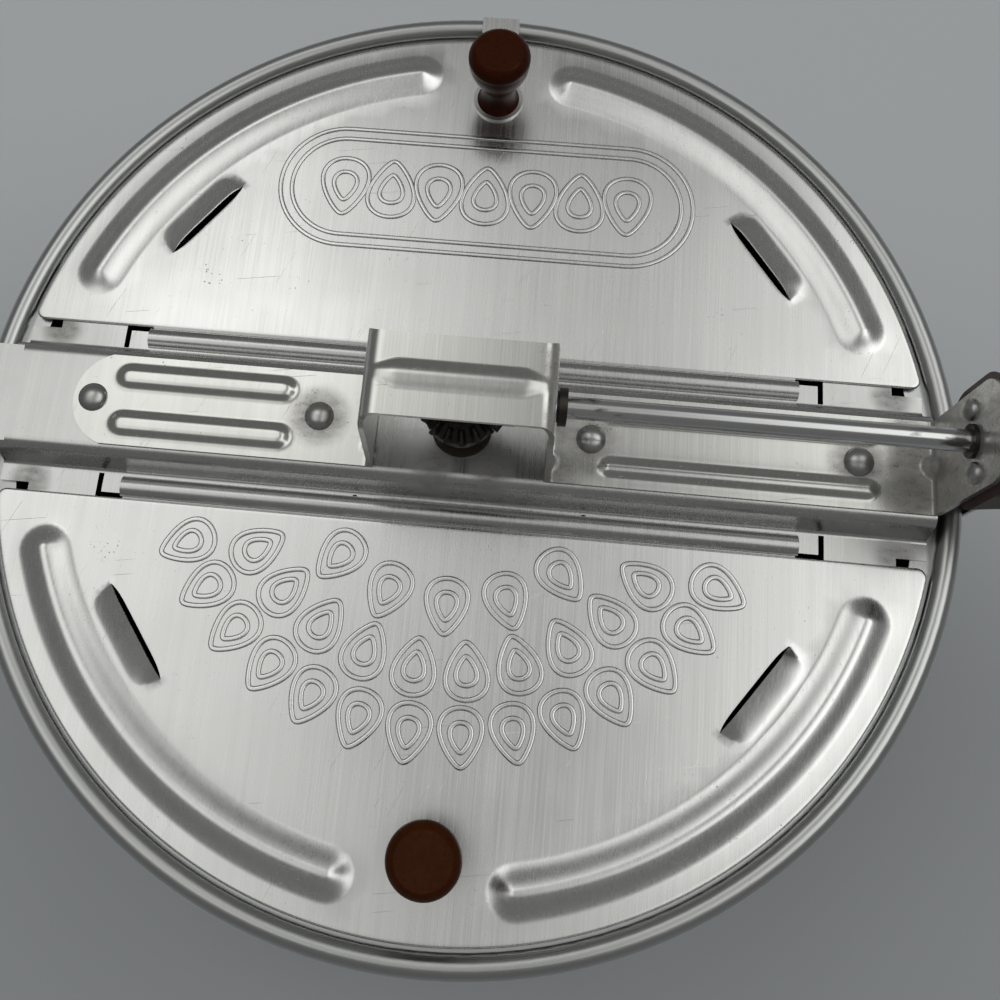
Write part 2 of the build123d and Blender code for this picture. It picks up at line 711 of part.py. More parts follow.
# --- handle ------------------------------------------------------------------------------------
def make_handle():
    sections = []
    for place, (width, height) in ((0, handle_front), (handle_waist_place, handle_waist),
                                   (handle_belly_place, handle_belly), (handle_length, handle_tail)):
        face = RectangleRounded(width, height, handle_round)
        sections.append(Plane.YZ.offset(handle_start + place) * Pos(0, rod_z) * face)
    body = loft(sections)
    body = fillet(body.edges().group_by(Axis.X)[-1], handle_end_round)
    bore = rod_radius + handle_bore_clearance
    body -= Pos(handle_start, 0, rod_z) * along_x(post(bore, 0, handle_length))
    sleeve = bush_radius + fastener_clearance
    body -= Pos(handle_end - ferrule_sleeve, 0, rod_z) * along_x(post(sleeve, 0, ferrule_sleeve))
    body -= Pos(handle_start, 0, rod_z) * along_x(post(sleeve, 0, bush_sleeve_in_wood()))
    for row in (-1, 1):
        hole = post(handle_screw_radius + fastener_clearance, 0, handle_screw_length)
        body -= Pos(handle_start, row * handle_screw_spacing / 2, rod_z) * along_x(hole)
    clip_hole = post(handle_screw_radius + fastener_clearance, 0, clip_seat() + clip_screw_length)
    body -= Pos(clip_screw_x(), 0) * clip_hole
    return body - clip_flat()


def bush_sleeve_in_wood():
    return 2 * bush_wall


def clip_seat():
    """Height of the flat under the handle that the clip's leaf lies on."""
    return rod_z - min(handle_front[1], handle_waist[1]) / 2 + clip_sheet


def clip_flat():
    """What is planed off under the handle's front for the clip."""
    return block((handle_start, -clip_width, 0),
                 (rim_radius + hook_gap + clip_leaf_length + clip_sheet, clip_width, clip_seat()))


def clip_screw_x():
    return rim_radius + hook_gap + clip_leaf_length / 2


def make_handle_screws():
    """Two round-head screws through the plate into the handle."""
    screws = []
    for row in (-1, 1):
        head = Rot(180, 0, 0) * dome(handle_screw_head_radius, handle_screw_head_height)
        screw = head + post(handle_screw_radius, 0, strip_sheet + handle_screw_length - 1.0)
        place = Pos(plate_place, row * handle_screw_spacing / 2, rod_z)
        screws.append(place * along_x(screw))
    return screws


def make_rim_clip():
    """Spring clip below the handle that hooks under the rolled rim."""
    near = rim_radius + hook_gap
    leaf_z = clip_seat() - clip_sheet
    lip_z = rim_z - rim_bead_radius - hook_gap - clip_sheet
    line = [(near - hook_lip, lip_z), (near + clip_sheet, lip_z), (near + clip_sheet, leaf_z),
            (near + clip_leaf_length, leaf_z)]
    clip = extrude(Plane.XZ * bent_sheet(line, clip_bend, clip_sheet), clip_width / 2, both=True)
    hole = post(handle_screw_radius + fastener_clearance, leaf_z, clip_seat())
    return clip - Pos(clip_screw_x(), 0) * hole


def make_clip_screw():
    head = Rot(180, 0, 0) * dome(handle_screw_head_radius, handle_screw_head_height)
    screw = head + post(handle_screw_radius, 0, clip_sheet + clip_screw_length - 1.0)
    return Pos(clip_screw_x(), 0, clip_seat() - clip_sheet) * screw


# --- the parts ---------------------------------------------------------------------------------
def leg_bush():
    """Bush in the right leg of the housing, its flange outside."""
    bush = flanged_bush(rod_bore, bush_wall, bush_flange, bush_flange_thickness,
                        strip_sheet + leg_splay)
    return Pos(leg_foot, 0, rod_z) * along_x(bush)


def plate_bush():
    """Bush in the handle plate, its flange towards the gears."""
    bush = flanged_bush(rod_bore, bush_wall, plate_bush_flange, plate_bush_flange_thickness,
                        strip_sheet + bush_sleeve_in_wood())
    return Pos(plate_place, 0, rod_z) * Rot(0, -90, 0) * bush


def ferrule():
    """Metal end of the handle that the rod turns in."""
    reach = ferrule_radius - bush_radius
    bush = flanged_bush(rod_bore, bush_wall, reach, ferrule_plate, ferrule_sleeve)
    return Pos(handle_end, 0, rod_z) * along_x(bush)


def shaft_bush():
    bush = flanged_bush(shaft_bore, shaft_bush_wall, shaft_bush_flange,
                        shaft_bush_flange_thickness, shaft_bush_length)
    return Pos(0, 0, bar_top) * bush


def shaft_collar():
    top = bar_top - shaft_bush_length - end_play
    low = top - shaft_collar_height
    return post(shaft_collar_radius, low, top) - post(shaft_radius + fastener_clearance, low, top)


parts = {
    "pan": make_pan(),
    "bridge": make_bridge(),
    "gear_bracket": make_bracket(),
    "bracket_rivets": make_rivets(),
    "door_back": make_door(1, True),
    "door_front": make_door(-1, False),
    "handle_grip": make_handle(),
    "handle_screws": make_handle_screws(),
    "handle_ferrule": ferrule(),
    "leg_bushing": leg_bush(),
    "plate_bushing": plate_bush(),
    "rim_clip": make_rim_clip(),
    "clip_screw": make_clip_screw(),
    "shaft_bushing": shaft_bush(),
    "crank_rod": make_rod(),
    "rod_collar": tube_along_x(rod_collar_radius, rod_radius + fastener_clearance, collar_x,
                               collar_x + rod_collar_length, rod_z),
    "drive_pinion": make_pinion(),
    "pinion_pin": Pos(pinion_pin_x(), 0, rod_z) * cross_pin(pinion_hub_radius),
    "crank_grip": make_crank_grip(),
    "crank_grip_cap": tube_along_x(grip_cap_radius, rod_radius + fastener_clearance, cap_start,
                                   cap_end, crank_pin_z),
    "driven_gear": make_driven_gear(),
    "gear_pin": Pos(0, 0, gear_pin_z()) * Rot(90, 0, 0) * cross_pin(gear_hub_radius),
    "stirrer_shaft": make_shaft(),
    "shaft_collar": shaft_collar(),
    "stirrer_hub": make_stirrer_hub(),
    "stirrer_wire_low": make_stirrer_wire(0),
    "stirrer_wire_high": Rot(0, 0, 90) * make_stirrer_wire(stirrer_wire_step),
}
for name, side in (("back", 1), ("front", -1)):
    parts["knob_" + name] = knob_place(side) * Pos(0, 0, knob_washer_thickness) * make_knob()
    parts["knob_screw_" + name] = knob_place(side) * make_knob_screw()
    parts["knob_washer_" + name] = knob_place(side) * make_knob_washer()

os.makedirs("parts", exist_ok=True)
for name, shape in parts.items():
    export_step(Compound(children=shape) if isinstance(shape, list) else shape,
                f"parts/{name}.step")
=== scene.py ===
"""The finished look of a stovetop popcorn popper: detailed pieces, materials, camera and studio, in metres.

The file is laid out as an add-on: settings, one operator for each group of pieces, and a panel. Run as a
script it builds everything once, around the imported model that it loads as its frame.
"""

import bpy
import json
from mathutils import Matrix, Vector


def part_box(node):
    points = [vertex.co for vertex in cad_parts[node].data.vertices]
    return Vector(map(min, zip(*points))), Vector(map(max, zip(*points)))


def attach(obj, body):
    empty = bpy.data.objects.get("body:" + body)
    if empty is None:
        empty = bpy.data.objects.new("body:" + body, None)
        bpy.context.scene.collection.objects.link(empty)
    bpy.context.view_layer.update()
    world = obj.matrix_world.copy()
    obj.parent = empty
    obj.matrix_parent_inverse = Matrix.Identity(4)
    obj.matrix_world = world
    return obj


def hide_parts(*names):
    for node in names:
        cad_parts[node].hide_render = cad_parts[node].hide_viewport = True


bl_info = {
    "name": "Popcorn Popper Looks",
    "version": (1, 0, 0),
    "blender": (4, 5, 0),
    "location": "3D View > Sidebar > Popper",
    "description": "Builds the doors, bracket, rivets, wood, finishes and studio of a popcorn popper",
    "category": "Object",
}

import json
import math

import bmesh
import bpy
import numpy as np
from bpy.props import FloatProperty, FloatVectorProperty, IntProperty, PointerProperty
from bpy.types import Operator, Panel, PropertyGroup
from mathutils.geometry import delaunay_2d_cdt

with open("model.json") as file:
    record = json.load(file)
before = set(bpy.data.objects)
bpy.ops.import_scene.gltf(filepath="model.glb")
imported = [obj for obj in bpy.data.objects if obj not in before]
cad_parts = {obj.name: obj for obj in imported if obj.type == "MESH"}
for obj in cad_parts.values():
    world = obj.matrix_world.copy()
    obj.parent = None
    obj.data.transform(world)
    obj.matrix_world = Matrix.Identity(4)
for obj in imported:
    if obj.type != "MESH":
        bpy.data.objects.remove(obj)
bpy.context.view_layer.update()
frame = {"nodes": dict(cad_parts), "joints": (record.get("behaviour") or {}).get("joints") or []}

# Places of the frame that the pieces are built on
joint_places = {joint["name"]: joint["pos_m"] for joint in frame["joints"]}
hinge_y, hinge_z = joint_places["back_door_hinge"][1:]
rod_z = joint_places["crank_turn"][2]
door_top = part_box("knob_washer_back")[0].z
rim_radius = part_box("pan")[1].x
bracket_low, bracket_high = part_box("gear_bracket")
bar_top = bracket_low.z

# Places along the bracket's strip, as on the solids
rivet_places = (-0.0892, -0.0342, 0.0306, 0.093)
left_ribs = (-0.0847, -0.0399)
right_ribs = (0.0322, 0.0978)
tiny = 1e-6  # points closer than this are one point


# --- settings ----------------------------------------------------------------------------------
def size(name, text, millimetres):
    """A length setting, with its default in millimetres."""
    return FloatProperty(name=name, description=text, default=millimetres / 1000, min=0.0,
                         precision=5, unit="LENGTH")


def turn(name, text, degrees):
    """An angle setting, with its default in degrees."""
    return FloatProperty(name=name, description=text, default=math.radians(degrees), unit="ROTATION")


def share(name, text, value):
    """A setting from 0 to 1."""
    return FloatProperty(name=name, description=text, default=value, min=0.0, max=1.0,
                         subtype="FACTOR")


def level(name, text, value):
    """A brightness setting, where 1 is white."""
    return FloatProperty(name=name, description=text, default=value, min=0.0)


def power(name, text, watts):
    """The power of a lamp."""
    return FloatProperty(name=name, description=text, default=watts, min=0.0, unit="POWER")


def count(name, text, value):
    """A whole number setting."""
    return IntProperty(name=name, description=text, default=value, min=1)


def tone(name, text, value):
    """A colour setting."""
    return FloatVectorProperty(name=name, description=text, default=value, size=3, min=0.0, max=1.0,
                               subtype="COLOR")


class DoorSettings(PropertyGroup):
    """Sizes of the two half-round doors."""

    sheet: size("Sheet", "Thickness of the sheet", 0.6)
    play: size("Play", "Room between a door and the rolled rim, measured from the rim's outside", 6.4)
    hinge_gap: size("Hinge Gap", "From the hinge axis to the straight edge", 2.85)
    corner: size("Corner", "Radius of the corners beside the hinge", 2.2)
    lip_inset: size("Lip Inset", "The lip starts this far behind the straight edge", 14.0)
    lip: size("Lip", "Depth of the turned-down round edge", 1.6)
    hook_gap: size("Hook Gap", "Inside radius of the hook round the hinge bead", 2.76)
    hook_length: size("Hook Length", "Length of the hook along the hinge", 160.8)
    hook_wrap: turn("Hook Wrap", "How far the hook wraps below the bead", 145.0)
    ridge_radius: size("Ridge Radius", "From the lid's middle to a ridge's middle", 103.0)
    ridge_width: size("Ridge Width", "Ridge width at its foot", 12.4)
    ridge_height: size("Ridge Height", "Height of the ridges", 2.2)
    ridge_soft: share("Ridge Softness", "How far the ridges' foot and crest are rounded", 0.045)
    ridge_start: turn("Ridge Start", "From the bar to the end of a ridge", 20.5)
    ridge_end: turn("Ridge End", "From the bar to the far end of a ridge", 78.5)
    louver_radius: size("Louver Radius", "From the lid's middle to a louver's open edge", 89.1)
    louver_angle: turn("Louver Angle", "From the bar to a louver", 36.7)
    louver_length: size("Louver Length", "Length of a louver's slit", 26.0)
    louver_width: size("Louver Width", "Width of a louver's scoop", 6.4)
    louver_height: size("Louver Height", "Height of a louver's lip", 2.4)
    louver_gap: size("Louver Gap", "Width of a louver's slit in its middle", 0.8)
    tab_width: size("Tab Width", "Width of the back door's lift tab", 10.0)
    sag: size("Sag", "How uneven the flat of the sheet is", 0.03)
    mesh_step: size("Mesh Step", "Between the points that carry the flat of the sheet", 4.0)
    knob_hole: size("Knob Hole", "Radius of the hole for the knob's screw", 2.05)


class OrnamentSettings(PropertyGroup):
    """Sizes of the raised line ornament pressed into the doors."""

    line_width: size("Line Width", "Width of the raised lines", 1.3)
    line_height: size("Line Height", "Height of the raised lines", 0.45)
    drop_length: size("Drop Length", "Length of a drop", 13.0)
    drop_width: size("Drop Width", "Width of a drop", 9.6)
    inner_share: share("Inner Drop", "Size of the inner outline against the outer one", 0.5)
    fan_rows: count("Fan Rows", "Arcs of drops on the front door", 3)
    fan_radius: size("Fan Radius", "Radius of the first arc of drops", 41.0)
    fan_step: size("Fan Step", "Between two arcs of drops", 14.6)
    fan_pitch: size("Fan Pitch", "Between two drops of an arc", 10.4)
    fan_clear: size("Fan Clearance", "From the bar's middle to the nearest drop", 31.5)
    fan_half_width: size("Fan Half Width", "From the middle to the furthest drop", 70.0)
    plaque_length: size("Plaque Length", "Straight length of the plaque's border", 74.0)
    plaque_radius: size("Plaque Radius", "Radius of the plaque's round ends", 17.0)
    plaque_place: size("Plaque Place", "From the lid's middle to the plaque's middle", 66.0)
    plaque_drops: count("Plaque Drops", "Drops in the plaque's row", 7)
    plaque_growth: FloatProperty(name="Plaque Growth", description="The plaque's drops against the fan's",
                                 default=1.25, min=0.0)
    border_gap: size("Border Gap", "Between the plaque's two border lines", 3.0)


class BracketSettings(PropertyGroup):
    """Sizes of the gear bracket's strip."""

    sheet: size("Sheet", "Thickness of the strip", 1.2)
    housing_width: size("Housing Width", "Over the two legs at their top", 40.9)
    housing_height: size("Housing Height", "From the feet to the housing's top", 36.5)
    splay: size("Leg Splay", "Each leg stands this much wider at its foot", 0.9)
    bend: size("Bend", "Inside radius of the bends", 2.1)
    end_depth: size("End Depth", "Depth of the left foot's round end", 8.0)
    plate_corner: size("Plate Corner", "Radius of the handle plate's top corners", 8.0)
    rib_height: size("Rib Height", "Height of the pressed ribs", 1.1)
    rib_slope: size("Rib Slope", "Width of the ribs' sloping sides", 2.6)
    left_rib_width: size("Left Rib Width", "Width of the left foot's ribs", 7.2)
    left_rib_spacing: size("Left Rib Spacing", "Between the left foot's ribs", 11.8)
    right_rib_width: size("Right Rib Width", "Width of the right foot's ribs", 6.0)
    right_rib_spacing: size("Right Rib Spacing", "Between the right foot's ribs", 13.0)
    crown_width: size("Crown Rib Width", "Width of the housing's rib", 6.8)
    crown_height: size("Crown Rib Height", "Height of the housing's rib", 0.8)
    crown_taper: size("Crown Rib Taper", "Length of the housing's rib that runs out to a point", 7.0)
    gusset_radius: size("Gusset Radius", "Reach of the dimples in the folds", 2.1)
    gusset_height: size("Gusset Height", "Height of the dimples in the folds", 0.7)
    gusset_spacing: size("Gusset Spacing", "Between the two dimples of a leg's fold", 13.0)
    plate_gusset: FloatProperty(name="Plate Gusset", description="The plate's dimple against the others",
                                default=1.6, min=0.0)
    step: size("Mesh Step", "Largest step between the strip's rows of points", 0.7)


class FastenerSettings(PropertyGroup):
    """Sizes of the rivets and screws."""

    rivet_radius: size("Rivet Radius", "Radius of a rivet's head", 3.5)
    rivet_height: size("Rivet Height", "Height of a rivet's head", 2.1)
    rivet_shank: size("Rivet Shank", "Radius of a rivet's shank", 1.6)
    rivet_tail: size("Rivet Tail", "Radius of a rivet's closed tail", 2.6)
    rivet_tail_height: size("Rivet Tail Height", "Height of a rivet's closed tail", 0.9)
    screw_radius: size("Screw Radius", "Radius of a screw's head", 2.5)
    screw_height: size("Screw Height", "Height of a screw's head", 1.9)
    screw_shank: size("Screw Shank", "Radius of a screw's shank", 1.7)
    screw_end: size("Screw End", "Height of the rounded end of a screw", 0.2)


class FinishSettings(PropertyGroup):
    """Colours of the metals, the wood and the grease."""

    lid_metal: tone("Lid Metal", "Brushed aluminium of the lid", (0.76, 0.765, 0.75))
    pan_metal: tone("Pan Metal", "Spun aluminium of the pan", (0.52, 0.53, 0.525))
    strip_metal: tone("Strip Metal", "Plated steel of the bracket", (0.66, 0.66, 0.635))
    rivet_metal: tone("Rivet Metal", "Rivets", (0.46, 0.46, 0.45))
    rod_metal: tone("Rod Metal", "Polished crank rod and stirrer", (0.66, 0.67, 0.67))
    screw_metal: tone("Screw Metal", "Screws, washers, collars and clip", (0.50, 0.50, 0.49))
    grease: tone("Grease", "Brown grease in the corners", (0.045, 0.030, 0.018))
    back_wood: tone("Back Knob Wood", "Stain of the back door's knob", (0.030, 0.0056, 0.0006))
    front_wood: tone("Front Knob Wood", "Stain of the front door's knob", (0.036, 0.0082, 0.0006))
    handle_wood: tone("Handle Wood", "Stain of the handle and the crank's grip", (0.028, 0.012, 0.007))
    heat_tint: tone("Heat Tint", "Colour that heat left low on the pan", (0.30, 0.22, 0.13))
    bush_metal: tone("Bush Metal", "Dark bushes of the crank rod", (0.075, 0.068, 0.060))
    brass: tone("Brass", "Bare metal of the shaft's bush", (0.30, 0.21, 0.09))
    gear_black: tone("Gear Black", "Blackened gears", (0.012, 0.011, 0.010))
    gear_grease: tone("Gear Grease", "Grease between the gears' teeth", (0.040, 0.027, 0.016))


class StudioSettings(PropertyGroup):
    """Camera, floor and light."""

    lens: FloatProperty(name="Lens", description="Focal length in millimetres", default=41.4, min=1.0,
                        unit="CAMERA")
    camera_place: FloatVectorProperty(name="Camera Place", description="Where the camera is",
                                      default=(0.0101, -0.0777, 0.4123), subtype="TRANSLATION")
    camera_turn: FloatVectorProperty(name="Camera Turn", description="Which way the camera is turned",
                                     default=[math.radians(a) for a in (18.08, 1.08, 5.37)],
                                     subtype="EULER")
    camera_shift: FloatVectorProperty(name="Camera Shift", description="Shift of the picture",
                                      default=(0.047, -0.0999), size=2)
    floor: tone("Floor", "Colour of the floor", (0.48, 0.505, 0.52))
    floor_reach: size("Floor Reach", "From the pan's middle to the floor's edges", 12000.0)
    near_shade: share("Near Shade", "How dark the floor's near side is against its far side", 0.66)
    backdrop: tone("Backdrop", "What the camera sees beyond the floor", (0.36, 0.375, 0.385))
    panel_level: level("Panels", "Brightness of the soft panels at their brightest", 1.72)
    window_level: level("Window", "Brightness of the patch behind the housing", 0.8)
    wall_level: level("Walls", "Brightness of the walls", 0.15)
    left_lamp: power("Left Lamp", "Power of the left soft box", 2.0)
    right_lamp: power("Right Lamp", "Power of the right soft box", 1.3)


# Brightness of the soft panels across the room, from twice their height left to twice right
panel_levels = [(0.0, 0.0), (0.22, 0.0), (0.30, 0.15), (0.345, 0.40), (0.385, 0.57), (0.42, 0.52),
                (0.45, 0.40), (0.475, 0.20), (0.505, 0.09), (0.535, 0.17), (0.565, 0.52),
                (0.60, 0.68), (0.64, 0.80), (0.70, 0.88), (0.76, 0.60), (0.82, 0.0), (1.0, 0.0)]


# --- node trees written as expressions ----------------------------------------------------------
class Wire:
    """An output socket that stands in arithmetic; each operation adds a Math node."""

    def __init__(self, nodes, socket):
        self.nodes = nodes
        self.socket = socket

    def __add__(self, other):
        return self.nodes.math("ADD", self, other)

    def __radd__(self, other):
        return self.nodes.math("ADD", other, self)

    def __sub__(self, other):
        return self.nodes.math("SUBTRACT", self, other)

    def __rsub__(self, other):
        return self.nodes.math("SUBTRACT", other, self)

    def __mul__(self, other):
        return self.nodes.math("MULTIPLY", self, other)

    def __rmul__(self, other):
        return self.nodes.math("MULTIPLY", other, self)

    def __truediv__(self, other):
        return self.nodes.math("DIVIDE", self, other)

    def __rtruediv__(self, other):
        return self.nodes.math("DIVIDE", other, self)

    def __pow__(self, other):
        return self.nodes.math("POWER", self, other)


class Nodes:
    """A node tree: every node comes from add(), and sums come from its wires."""

    def __init__(self, tree):
        self.tree = tree

    def add(self, kind, settings=None, values=None, output=0):
        """Add a node, set it up, fill or link its sockets, and return one of its outputs."""
        node = self.tree.nodes.new(kind)
        for name, value in (settings or {}).items():
            if name == "stops":
                self.set_stops(node.color_ramp.elements, value)
            else:
                setattr(node, name, value)
        for name, value in (values or {}).items():
            if isinstance(value, Wire):
                self.tree.links.new(value.socket, node.inputs[name])
            else:
                node.inputs[name].default_value = value
        return Wire(self, node.outputs[output])

    @staticmethod
    def set_stops(elements, stops):
        """Give a colour ramp its stops, each a place and a grey or a colour."""
        while len(elements) > 1:
            elements.remove(elements[-1])
        for number, (place, shade) in enumerate(stops):
            element = elements.new(place) if number else elements[0]
            element.position = place
            rgb = shade if isinstance(shade, tuple) else (shade,) * 3
            element.color = (*rgb, 1.0)

    def math(self, operation, *values):
        return self.add("ShaderNodeMath", {"operation": operation}, dict(enumerate(values)))

    def split(self, vector):
        """The three parts of a vector."""
        node = self.add("ShaderNodeSeparateXYZ", None, {0: vector}).socket.node
        return [Wire(self, socket) for socket in node.outputs]

    def join(self, x, y, z):
        return self.add("ShaderNodeCombineXYZ", None, {0: x, 1: y, 2: z})

    def fade(self, value, low, high):
        """0 at low and 1 at high, with soft ends."""
        return self.add("ShaderNodeMapRange", {"interpolation_type": "SMOOTHSTEP"},
                        {"Value": value, "From Min": low, "From Max": high})


class Finish(Nodes):
    """A material that varies over the surface in the object's own coordinates."""

    def __init__(self, name):
        self.material = bpy.data.materials.new(name)
        self.material.use_nodes = True
        super().__init__(self.material.node_tree)
        self.tree.nodes.clear()
        self.place = self.add("ShaderNodeTexCoord", output="Object")
        self.x, self.y, self.z = self.split(self.place)

    def noise(self, cells, detail=2.0, place=None):
        """Soft noise from 0 to 1, with this many cells per metre along each axis."""
        stretched = self.add("ShaderNodeVectorMath", {"operation": "MULTIPLY"},
                             {0: place or self.place, 1: cells})
        return self.add("ShaderNodeTexNoise", None, {"Vector": stretched, "Scale": 1.0,
                                                     "Detail": detail})

    def line_noise(self, along, cells, detail=3.0):
        """Noise that changes only with one number."""
        return self.add("ShaderNodeTexNoise", {"noise_dimensions": "1D"},
                        {"W": along * cells, "Scale": 1.0, "Detail": detail})

    def turned_place(self, degrees):
        """The place, turned about Z."""
        return self.add("ShaderNodeVectorRotate", {"rotation_type": "Z_AXIS"},
                        {"Vector": self.place, "Angle": math.radians(degrees)})

    def scratches(self, directions, amount):
        """Sparse thin lines in several directions, 1 on a line."""
        where = self.noise((70, 55, 60), 1.0)
        found = 0.0
        for degrees in directions:
            lines = self.noise((5200, 34, 5200), 1.0, self.turned_place(degrees))
            found = self.math("MAXIMUM", found, self.fade(lines, 1 - amount, 1.02 - amount))
        return found * self.fade(where, 0.42, 0.62)

    def specks(self, cells, amount):
        """Small dark pits in loose swarms, 1 in a pit."""
        cell = self.add("ShaderNodeTexVoronoi", None, {"Vector": self.place, "Scale": cells})
        swarm = self.fade(self.noise((70, 70, 70), 3.0), 0.66 - amount, 0.78 - amount)
        return self.fade(cell, 0.20, 0.06) * swarm

    def grime(self, spots, reach):
        """Caked dirt: a thin film at the spots, breaking up into crumbs and smears round them."""
        crumbs = self.noise((2300, 1500, 2300), 8.0)
        smears = self.noise((300, 620, 400), 3.0)
        close = self.near(spots, reach)
        cake = self.fade(crumbs + smears * 0.5 + close * 0.24, 0.94, 1.20) * 0.8
        return self.math("MAXIMUM", cake, close * (smears * 0.7 + 0.14))

    def near(self, spots, reach):
        """1 within reach of any of the spots, each an x and a y, and 0 at three times as far."""
        found = 0.0
        for x, y in spots:
            away = self.math("SQRT", (self.x - x) ** 2.0 + (self.y - y) ** 2.0)
            found = self.math("MAXIMUM", found, self.fade(away, 3 * reach, reach))
        return found

    def mix(self, factor, low, high):
        """A colour between two colours."""
        return self.add("ShaderNodeMix", {"data_type": "RGBA"},
                        {0: factor, 6: opaque(low), 7: opaque(high)}, output=2)

    def bump(self, height, distance):
        return self.add("ShaderNodeBump", None, {"Height": height, "Distance": distance})

    def finish(self, base, roughness, **constants):
        """Close the material with its shader and return it."""
        values = {"Base Color": opaque(base), "Roughness": roughness}
        titles = {name: name.replace("_", " ").title().replace("Ior", "IOR") for name in constants}
        values.update({titles[name]: value for name, value in constants.items()})
        shader = self.add("ShaderNodeBsdfPrincipled", None, values)
        self.add_output(shader)
        return self.material

    def add_output(self, shader):
        output = self.tree.nodes.new("ShaderNodeOutputMaterial")
        self.tree.links.new(shader.socket, output.inputs["Surface"])


def opaque(colour):
    """A colour with its alpha, or a wire as it is."""
    return colour if isinstance(colour, Wire) else (*colour[:3], 1.0)


def scaled(colour, factor):
    return tuple(part * factor for part in colour[:3])


# --- materials ---------------------------------------------------------------------------------
def brushed_metal(name, base, roughness, spots, grease, reach, painted_shade_height=0.0):
    """Sheet brushed along Y: fine streaks, scratches, pits, grease near the spots, and painted shade that
    darkens the creases up to the height given by the last argument."""
    metal = Finish(name)
    streak = metal.noise((2400, 30, 2400), 3.0)
    broad = metal.noise((420, 9, 420), 2.0)
    cloud = metal.noise((26, 26, 26), 3.0)
    scratch = metal.scratches((24, 81), 0.235)
    pits = metal.specks(950, 0.05)
    dirt = metal.grime(spots, reach)
    # Painted shade: below the given height plus 0.26 mm the sheet is darkened towards grease, so from here
    # dirt holds both the grease and this painted shade.
    if painted_shade_height:
        painted_shade_top = painted_shade_height + 0.00026
        dirt = metal.math("MAXIMUM", dirt, metal.fade(metal.z, painted_shade_top, painted_shade_height) * 0.55)
    worn = metal.mix(streak * 0.5 + broad * 0.5, scaled(base, 0.84), scaled(base, 1.1))
    marked = metal.mix(pits * 0.7, worn, scaled(base, 0.12))
    colour = metal.mix(dirt * 0.85, marked, grease)
    rough = roughness + (streak - 0.5) * 0.16 + (cloud - 0.5) * 0.22 + dirt * 0.25 + scratch * 0.1
    height = streak * 0.30 + broad * 0.5 + cloud * 2.0 - scratch * 0.9 - pits * 2.2
    return metal.finish(colour, rough, metallic=1.0 - dirt * 0.8, normal=metal.bump(height, 0.00002))


def spun_metal(name, base, roughness, heat_tint):
    """Sheet spun on a lathe: rings round Z, light scratches and heat-darkened lower wall."""
    metal = Finish(name)
    radius = metal.math("SQRT", metal.x ** 2.0 + metal.y ** 2.0)
    rings = metal.line_noise(radius + metal.z, 2300, 4.0)
    broad = metal.line_noise(radius + metal.z, 260, 2.0)
    cloud = metal.noise((18, 18, 18), 3.0)
    scratch = metal.scratches((12, 103), 0.23)
    heat = metal.fade(metal.z + cloud * 0.012, 0.022, 0.002)
    worn = metal.mix(rings * 0.6 + broad * 0.4, scaled(base, 0.84), scaled(base, 1.1))
    colour = metal.mix(heat * 0.45, worn, heat_tint)
    rough = roughness + (rings - 0.5) * 0.16 + (cloud - 0.5) * 0.18 + heat * 0.12
    height = rings * 0.55 + broad * 0.6 + cloud - scratch * 0.7
    return metal.finish(colour, rough, metallic=1.0, normal=metal.bump(height, 0.00002))


def plain_metal(name, base, roughness, cells=700, dirt=0.3):
    """Small metal pieces: fine tooth, dull patches and dirt in them."""
    metal = Finish(name)
    tooth = metal.noise((cells, cells, cells), 3.0)
    patch = metal.fade(metal.noise((130, 130, 130), 3.0), 0.45, 0.75)
    colour = metal.mix(patch * dirt, scaled(base, 1.05), scaled(base, 0.35))
    rough = roughness + (tooth - 0.5) * 0.14 + patch * 0.16
    return metal.finish(colour, rough, metallic=1.0, normal=metal.bump(tooth, 0.00001))


def polished_rod(name, base, grease):
    """Polished round steel: faint drawn lines along X, with a greasy film near the bearings."""
    metal = Finish(name)
    drawn = metal.noise((40, 1500, 1500), 2.0)
    film = metal.fade(metal.noise((160, 420, 420), 4.0), 0.50, 0.66)
    ends = metal.near(((0.108, 0.0), (0.025, 0.0)), 0.006) * film
    colour = metal.mix(ends * 0.8, metal.mix(drawn, scaled(base, 0.92), scaled(base, 1.08)), grease)
    rough = 0.13 + drawn * 0.08 + ends * 0.3
    return metal.finish(colour, rough, metallic=1.0, normal=metal.bump(drawn, 0.000004))


def greasy_black(name, black, grease):
    """Black gear with brown grease in its hollows."""
    metal = Finish(name)
    lump = metal.noise((520, 520, 520), 4.0)
    film = metal.fade(lump, 0.46, 0.64)
    colour = metal.mix(film, black, grease)
    return metal.finish(colour, 0.42 - film * 0.16, metallic=0.25, normal=metal.bump(lump, 0.0001))


def stained_wood(name, stain, axis):
    """Turned hardwood under a worn varnish, with its grain along one axis (0 for X, 2 for Z)."""
    wood = Finish(name)
    across, along = 950.0, 46.0
    cells = [across] * 3
    cells[axis] = along
    fibre = wood.noise(cells, 4.0)
    bands = wood.noise([150.0 if part != axis else 11.0 for part in range(3)], 3.0)
    pores = wood.fade(wood.noise([2 * cell for cell in cells], 2.0), 0.60, 0.72)
    worn = wood.fade(wood.noise((85, 85, 85), 4.0), 0.60, 0.80)
    base = wood.mix(fibre * 0.55 + bands * 0.45, scaled(stain, 0.45), scaled(stain, 1.6))
    rubbed = wood.mix(worn * 0.35, base, scaled(stain, 2.6))
    colour = wood.mix(pores * 0.55, rubbed, scaled(stain, 0.2))
    rough = 0.34 + (fibre - 0.5) * 0.12 + worn * 0.2
    height = fibre * 0.5 - pores * 0.8
    return wood.finish(colour, rough, coat_weight=0.07 - worn * 0.05, coat_roughness=0.12,
                       specular_ior_level=0.06, normal=wood.bump(height, 0.00004))


